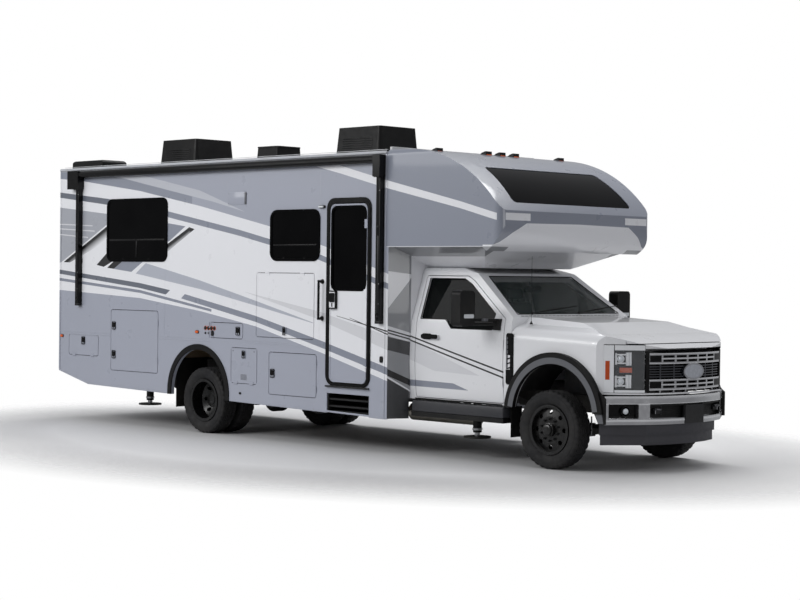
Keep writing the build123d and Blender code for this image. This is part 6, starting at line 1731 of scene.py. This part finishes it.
# ------------------------------------------------------------------ inside the cab
class CabInside(Dresser):
    """Padded seats, dashboard fittings, wheel rim, mirror and floor covering."""

    def build(self) -> None:
        """Makes what shows through the cab's glass."""
        for side in Side:
            self.seat(side)
        self.dash()
        self.wheel()

    def seat(self, side: Side) -> None:
        """One seat: cushion, back with bolsters and channels, headrest and base."""
        y = side.value * 0.430
        cushion = Shape()
        self.pad(cushion, [(2.03, 1.060), (2.53, 1.080), (2.535, 1.160), (2.03, 1.150)], y, 0.245, 5)
        made = self.add(cushion, f"seat_cushion_{side.word}", "seat_fabric", "seat_fabric", smooth=60,
                        subdivide=1)
        back = Shape()
        self.pad(back, [(2.03, 1.165), (2.12, 1.170), (1.985, 1.690), (1.900, 1.690)], y, 0.240, 7)
        made_back = self.add(back, f"seat_back_{side.word}", "seat_fabric", "seat_fabric", smooth=60,
                             subdivide=1)
        head = Shape()
        self.pad(head, [(1.908, 1.715), (1.980, 1.715), (1.958, 1.845), (1.890, 1.845)], y, 0.120, 3)
        made_head = self.add(head, f"seat_headrest_{side.word}", "seat_fabric", "seat_fabric", smooth=60,
                             subdivide=1)
        base = Shape()
        base.block((2.08, y - 0.20, 0.8825), (2.50, y + 0.20, 1.055), 0.02)
        for dy in (-0.05, 0.05):
            base.tube([(1.938, y + dy, 1.66), (1.932, y + dy, 1.73)], 0.006, 8)
        made_base = self.add(base, f"seat_base_{side.word}", "trim_black")
        if side is Side.RIGHT:
            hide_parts("seats")

    @staticmethod
    def pad(shape: Shape, outline: Chain, y: float, half: float, cells: int) -> None:
        """A crowned pad: an x-z outline swept across, fuller in each channel and pulled in at its seams."""
        centre = Vector((sum(p[0] for p in outline) / 4, 0, sum(p[1] for p in outline) / 4))
        stations = []
        for cell in range(cells):
            a, b = -1 + 2 * cell / cells, -1 + 2 * (cell + 1) / cells
            stations += [(a + 0.02, 0.93), ((a + b) / 2, 1.02)]
        stations.append((1.0, 0.90))
        stations[0] = (-1.0, 0.90)
        rings = []
        for share, full in stations:
            ring = []
            for i, (x, z) in enumerate(outline):
                nx, nz = outline[(i + 1) % 4]
                for part in (0.12, 0.5, 0.88):
                    px, pz = x + (nx - x) * part, z + (nz - z) * part
                    grown = centre + (Vector((px, 0, pz)) - centre) * full
                    ring.append(Vector((grown.x, y + share * half, grown.z)))
            rings.append(ring)
        shape.skin(rings)

    def dash(self) -> None:
        """Hood over the dials, console, screens, vents, inner mirror and carpet."""
        made = Shape()
        made.prism([(2.835, 1.448), (2.965, 1.492), (3.050, 1.470), (3.050, 1.452), (2.965, 1.475),
                    (2.845, 1.438)],
                   "xz", -0.86, 0.86)
        made.prism([(2.770, 1.440), (2.900, 1.505), (2.900, 1.470), (2.790, 1.430)], "xz", 0.26, 0.60)
        made.block((2.36, -0.14, 0.883), (2.80, 0.14, 1.12), 0.03)
        self.add(made, "dash_hood_and_console", "trim_black", "trim_grey")
        screen = Shape()
        screen.prism([(2.808, 1.300), (2.838, 1.432), (2.826, 1.436), (2.796, 1.304)], "xz", -0.13, 0.15)
        screen.prism([(2.812, 1.345), (2.830, 1.432), (2.822, 1.434), (2.804, 1.347)], "xz", 0.29, 0.55)
        self.add(screen, "dash_screens", "gloss_black", "trim_grey")
        vents = Shape()
        for y in (-0.80, -0.56, -0.24, 0.22, 0.66, 0.80):
            for i in range(5):
                z = 1.350 + i * 0.014
                vents.block((2.800 + i * 0.003, y - 0.045, z), (2.812 + i * 0.003, y + 0.045, z + 0.006),
                            0.001)
        self.add(vents, "dash_vents", "dark_satin", "trim_grey")
        mirror = Shape()
        mirror.prism(rounded((-0.130, 0.130, 1.800, 1.872), 0.03), "yz", 2.560, 2.590)
        mirror.tube([(2.590, 0, 1.838), (2.625, 0, 1.865), (2.632, 0, 1.885)], 0.008, 10)
        self.add(mirror, "inner_mirror_shell", "trim_black", "trim_grey")
        face = Shape()
        face.prism(rounded((-0.122, 0.122, 1.807, 1.865), 0.026), "yz", 2.5595, 2.5570)
        self.add(face, "inner_mirror_face", "mirror_face", "trim_grey")
        floor = Shape()
        floor.block((1.66, -0.92, 0.8822), (3.05, 0.92, 0.8890), 0.002)
        self.add(floor, "cab_carpet", "carpet", "trim_grey")

    def wheel(self) -> None:
        """The rim's sleeve and the hub's cover of the steering wheel."""
        tilt = math.radians(28)
        axis = Vector((-math.cos(tilt), 0, math.sin(tilt)))
        centre = Vector((2.610, 0.420, 1.400))
        rim = Shape()
        turns = [2 * math.pi * k / 16 for k in range(16)]
        ring = [(0.195 + 0.0165 * math.cos(a), 0.0165 * math.sin(a)) for a in turns]
        rim.turned(ring, tuple(centre), tuple(axis), 72, closed=True)
        self.add(rim, "wheel_rim_sleeve", "trim_black", "trim_grey", body="steering_wheel")
        hub = Shape()
        hub.turned([(0.070, -0.010), (0.074, 0.004), (0.060, 0.020), (0.030, 0.026), (0.004, 0.027)],
                   tuple(centre), tuple(axis), 40)
        self.add(hub, "wheel_hub_cover", "dark_satin", "trim_grey", body="steering_wheel")


# ------------------------------------------------------------------ underneath
class Underside(Dresser):
    """Shock absorbers, spring clip bolts and jack rods."""

    def build(self) -> None:
        """Dresses what shows under the floor."""
        made = Shape()
        for side in Side:
            y = side.value * 0.470
            for axle_x, top_z in ((REAR_AXLE_X, 0.74), (FRONT_AXLE_X, 0.66)):
                low, high = Vector((axle_x - 0.056, y, 0.375)), Vector((axle_x - 0.272, y, top_z))
                made.tube([low, low.lerp(high, 0.55)], 0.032, 16)
                made.tube([low.lerp(high, 0.5), high], 0.024, 16)
        self.add(made, "shock_absorbers", "frame_black", "frame_black")
        bolts = Shape()
        for side in Side:
            sign = side.value
            for axle_x in (REAR_AXLE_X, FRONT_AXLE_X):
                for dx in (-0.075, 0.075):
                    bolts.tube([(axle_x + dx, sign * 0.440, 0.320), (axle_x + dx, sign * 0.440, 0.520)],
                               0.008, 8)
        self.add(bolts, "spring_clip_bolts", "bare_steel", "cast_metal")
        rods = Shape()
        for x, y in ((-3.600, 0.600), (2.445, 0.735)):
            for side in Side:
                rods.turned([(0.0312, 0.0), (0.0312, 0.04)], (x, side.value * y, 0.236), (0, 0, 1), 24)
                rods.turned([(0.055, 0.0), (0.055, 0.02), (0.045, 0.03)], (x, side.value * y, 0.30),
                            (0, 0, 1), 24)
        self.add(rods, "jack_rods", "bare_steel", "frame_black")


# ------------------------------------------------------------------ CAD finishes and the studio
FINISH_NODES: dict[str, str] = {
    "arch_black": "arch_trims",
    "bumper_chrome": "front_bumper",
    "cab_paint": "cab_shell cab_door_left cab_door_right hood front_fenders",
    "cap_paint": "front_cap",
    "cast_metal": "powertrain knuckle_left knuckle_right",
    "clear_glass": "windscreen",
    "coach_paint": "left_wall right_wall rear_wall entry_door",
    "dam_grey": "air_dam",
    "dark_glass": "coach_windows entry_door_glass",
    "dark_satin": "steering_wheel",
    "exhaust_steel": "exhaust",
    "flap_rubber": "mud_flaps",
    "floor_wood": "coach_floor",
    "frame_black": "frame_rails front_axle rear_axle levelling_jacks",
    "gloss_black": "entry_frame headlamps awning",
    "grille_chrome": "grille",
    "rim_black": "front_rim_left front_rim_right rear_rims_left rear_rims_right",
    "roof_white": "coach_roof",
    "side_glass": "cab_door_glass_left cab_door_glass_right",
    "tank_plastic": "under_tanks storage_boxes",
    "trim_black": "entry_step mirror_left mirror_right running_boards",
    "trim_grey": "dashboard",
    "unit_black": "roof_units",
}
NODE_FINISH = {node: finish for finish, nodes in FINISH_NODES.items() for node in nodes.split()}
ROUNDED_NODES: dict[str, float] = {"roof_units": 0.035, "mirror_right": 0.016, "mirror_left": 0.016,
                                   "front_bumper": 0.012}


def dress_nodes(palette: Palette) -> None:
    """Gives every shown CAD node its finish, and rounds the edges of a few."""
    for name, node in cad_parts.items():
        lid = "hatch" in name or "storage_door" in name
        finish = NODE_FINISH.get(name, "coach_paint" if lid else "trim_black")
        node.data.materials.clear()
        node.data.materials.append(palette[finish])
        if name in ROUNDED_NODES:
            soft = node.modifiers.new("rounding", "BEVEL")
            soft.width, soft.segments = ROUNDED_NODES[name], 4
            soft.limit_method, soft.angle_limit = "ANGLE", math.radians(40)
        LOG.info("node %s wears %s", name, finish)


@dataclass(frozen=True)
class CameraPlace:
    """Where the camera stands and how it is turned, in metres and degrees."""

    spot: tuple[float, float, float] = (15.8447, -15.2564, 1.9791)
    yaw: float = 135.192
    pitch: float = -0.797
    roll: float = 0.683
    lens: float = 81.72
    sensor: float = 36.0
    far: float = 200.0


@dataclass(frozen=True)
class Lamp:
    """One soft rectangular light: where it hangs, what it looks at, its two sizes and its power."""

    name: str
    spot: Point
    aim: Point
    size: Pair
    power: float


LIGHTS: tuple[Lamp, ...] = (
    Lamp("key", (-3.0, -15.0, 9.0), (-0.5, -0.5, 1.6), (9.0, 6.0), 1150.0),
    Lamp("fill_left", (-10.0, -12.0, 7.0), (-1.5, 0.0, 1.5), (8.0, 6.0), 300.0),
    Lamp("front", (16.0, -1.0, 3.2), (3.0, 0.0, 1.4), (6.0, 4.0), 170.0),
    Lamp("top", (0.0, 5.0, 11.0), (0.0, -0.5, 0.0), (12.0, 4.0), 900.0),
)


class Studio:
    """Pale floor, soft lights and the camera."""

    floor_half = 60.0
    floor_thick = 0.05
    fade = (3.3, 5.2)
    fade_stretch = 0.72
    strength = 0.36

    def build(self) -> None:
        """Makes the stage."""
        self.camera(CameraPlace())
        self.floor()
        self.world()
        for lamp in LIGHTS:
            self.light(lamp)
        bpy.context.scene.view_settings.view_transform = "Standard"

    def camera(self, place: CameraPlace) -> None:
        """Sets the camera by yaw, pitch and roll."""
        yaw, pitch, roll = (math.radians(a) for a in (place.yaw, place.pitch, place.roll))
        ahead = Vector((math.cos(yaw) * math.cos(pitch), math.sin(yaw) * math.cos(pitch), math.sin(pitch)))
        right = ahead.cross(Vector((0, 0, 1))).normalized()
        up = right.cross(ahead)
        turned_right = math.cos(roll) * right + math.sin(roll) * up
        turned_up = -math.sin(roll) * right + math.cos(roll) * up
        data = bpy.data.cameras.new("camera")
        data.lens, data.sensor_width, data.clip_end = place.lens, place.sensor, place.far
        camera = bpy.data.objects.new("camera", data)
        bpy.context.scene.collection.objects.link(camera)
        matrix = Matrix((turned_right, turned_up, -ahead)).transposed().to_4x4()
        matrix.translation = Vector(place.spot)
        camera.matrix_world = matrix
        bpy.context.scene.camera = camera

    def floor(self) -> None:
        """A wide pale floor, darkened close under the vehicle by a painted shadow from ambient occlusion, and
        fading out away from it.
        """
        shape = Shape().block((-self.floor_half, -self.floor_half, -self.floor_thick),
                              (self.floor_half, self.floor_half, 0.0), 0.0)
        mesh = bpy.data.meshes.new("floor")
        shape.bm.to_mesh(mesh)
        floor = bpy.data.objects.new("floor", mesh)
        bpy.context.scene.collection.objects.link(floor)
        finish = Finish("floor_pale", Roughness=0.7, Specular_IOR_Level=0.2)
        share = finish.span(finish.noise(0.6, 2), 0.3, 0.7, 0.0, 1.0)
        pale = finish.mix(share, (0.93, 0.93, 0.935, 1.0), (0.95, 0.95, 0.95, 1.0))
        # painted shadow: ambient occlusion darkens the floor's colour under and round the vehicle
        closed = finish.node("AmbientOcclusion", {"Distance": 2.2}, samples=8).outputs["AO"]
        shade = finish.span(closed, 0.25, 0.95, 0.0, 1.0)
        finish.join("Base Color", finish.mix(shade, (0.50, 0.50, 0.505, 1.0), pale))
        along, across = finish.product(finish.axes["X"], self.fade_stretch), finish.axes["Y"]
        square = finish.math("ADD", finish.product(along, along), finish.product(across, across))
        finish.join("Alpha", finish.span(finish.math("SQRT", square), *self.fade, 1.0, 0.0))
        mesh.materials.append(finish.material)

    def world(self) -> None:
        """Even pale surroundings, white where the camera sees them."""
        world = bpy.data.worlds.new("studio")
        world.use_nodes = True
        world.node_tree.nodes.clear()
        sky = Nodes(world.node_tree)
        way = sky.node("SeparateXYZ", {"Vector": sky.node("TexCoord").outputs["Generated"]}).outputs
        ramp = sky.node("ValToRGB", {0: way["Z"]})
        stops = ramp.color_ramp.elements
        stops[0].position, stops[0].color = 0.0, (0.80, 0.81, 0.83, 1)
        stops[1].position, stops[1].color = 0.55, (0.95, 0.96, 1.0, 1)
        stops.new(0.12).color = (0.95, 0.96, 0.98, 1)
        # darker surroundings ahead of the vehicle, near the horizon, which the plated pieces mirror
        ahead = sky.span(way["X"], 0.15, 0.65, 0.0, 1.0)
        level = sky.span(way["Z"], 0.16, 0.34, 1.0, 0.0)
        shade = sky.mix(sky.product(ahead, level), ramp.outputs[0], (0.50, 0.50, 0.52, 1))
        soft = sky.node("Background", {"Color": shade, "Strength": self.strength})
        white = sky.node("Background", {"Color": (1, 1, 1, 1)})
        seen = sky.node("LightPath").outputs["Is Camera Ray"]
        joined = sky.node("MixShader", {0: seen, 1: soft.outputs[0], 2: white.outputs[0]})
        sky.node("OutputWorld", {0: joined.outputs[0]})
        bpy.context.scene.world = world

    def light(self, lamp: Lamp) -> None:
        """A soft rectangular light that looks at a point."""
        data = bpy.data.lights.new(lamp.name, "AREA")
        data.shape, data.energy = "RECTANGLE", lamp.power
        data.size, data.size_y = lamp.size
        made = bpy.data.objects.new(lamp.name, data)
        bpy.context.scene.collection.objects.link(made)
        made.location = lamp.spot
        made.rotation_mode = "QUATERNION"
        made.rotation_quaternion = (Vector(lamp.aim) - Vector(lamp.spot)).to_track_quat("-Z", "Y")


def main() -> None:
    """Builds all looks round the frame."""
    logging.basicConfig(level=logging.INFO, format="%(name)s: %(message)s")
    palette = Palette()
    dress_nodes(palette)
    for assembly in (Wheels, CoachTrim, Hatches, EntryDoor, Awning, Roof, Lamps, CabOutside, Nose, CabInside,
                     Underside):
        LOG.info("assembly %s", assembly.__name__)
        assembly(palette).build()
    Studio().build()


if __name__ == "__main__":
    main()
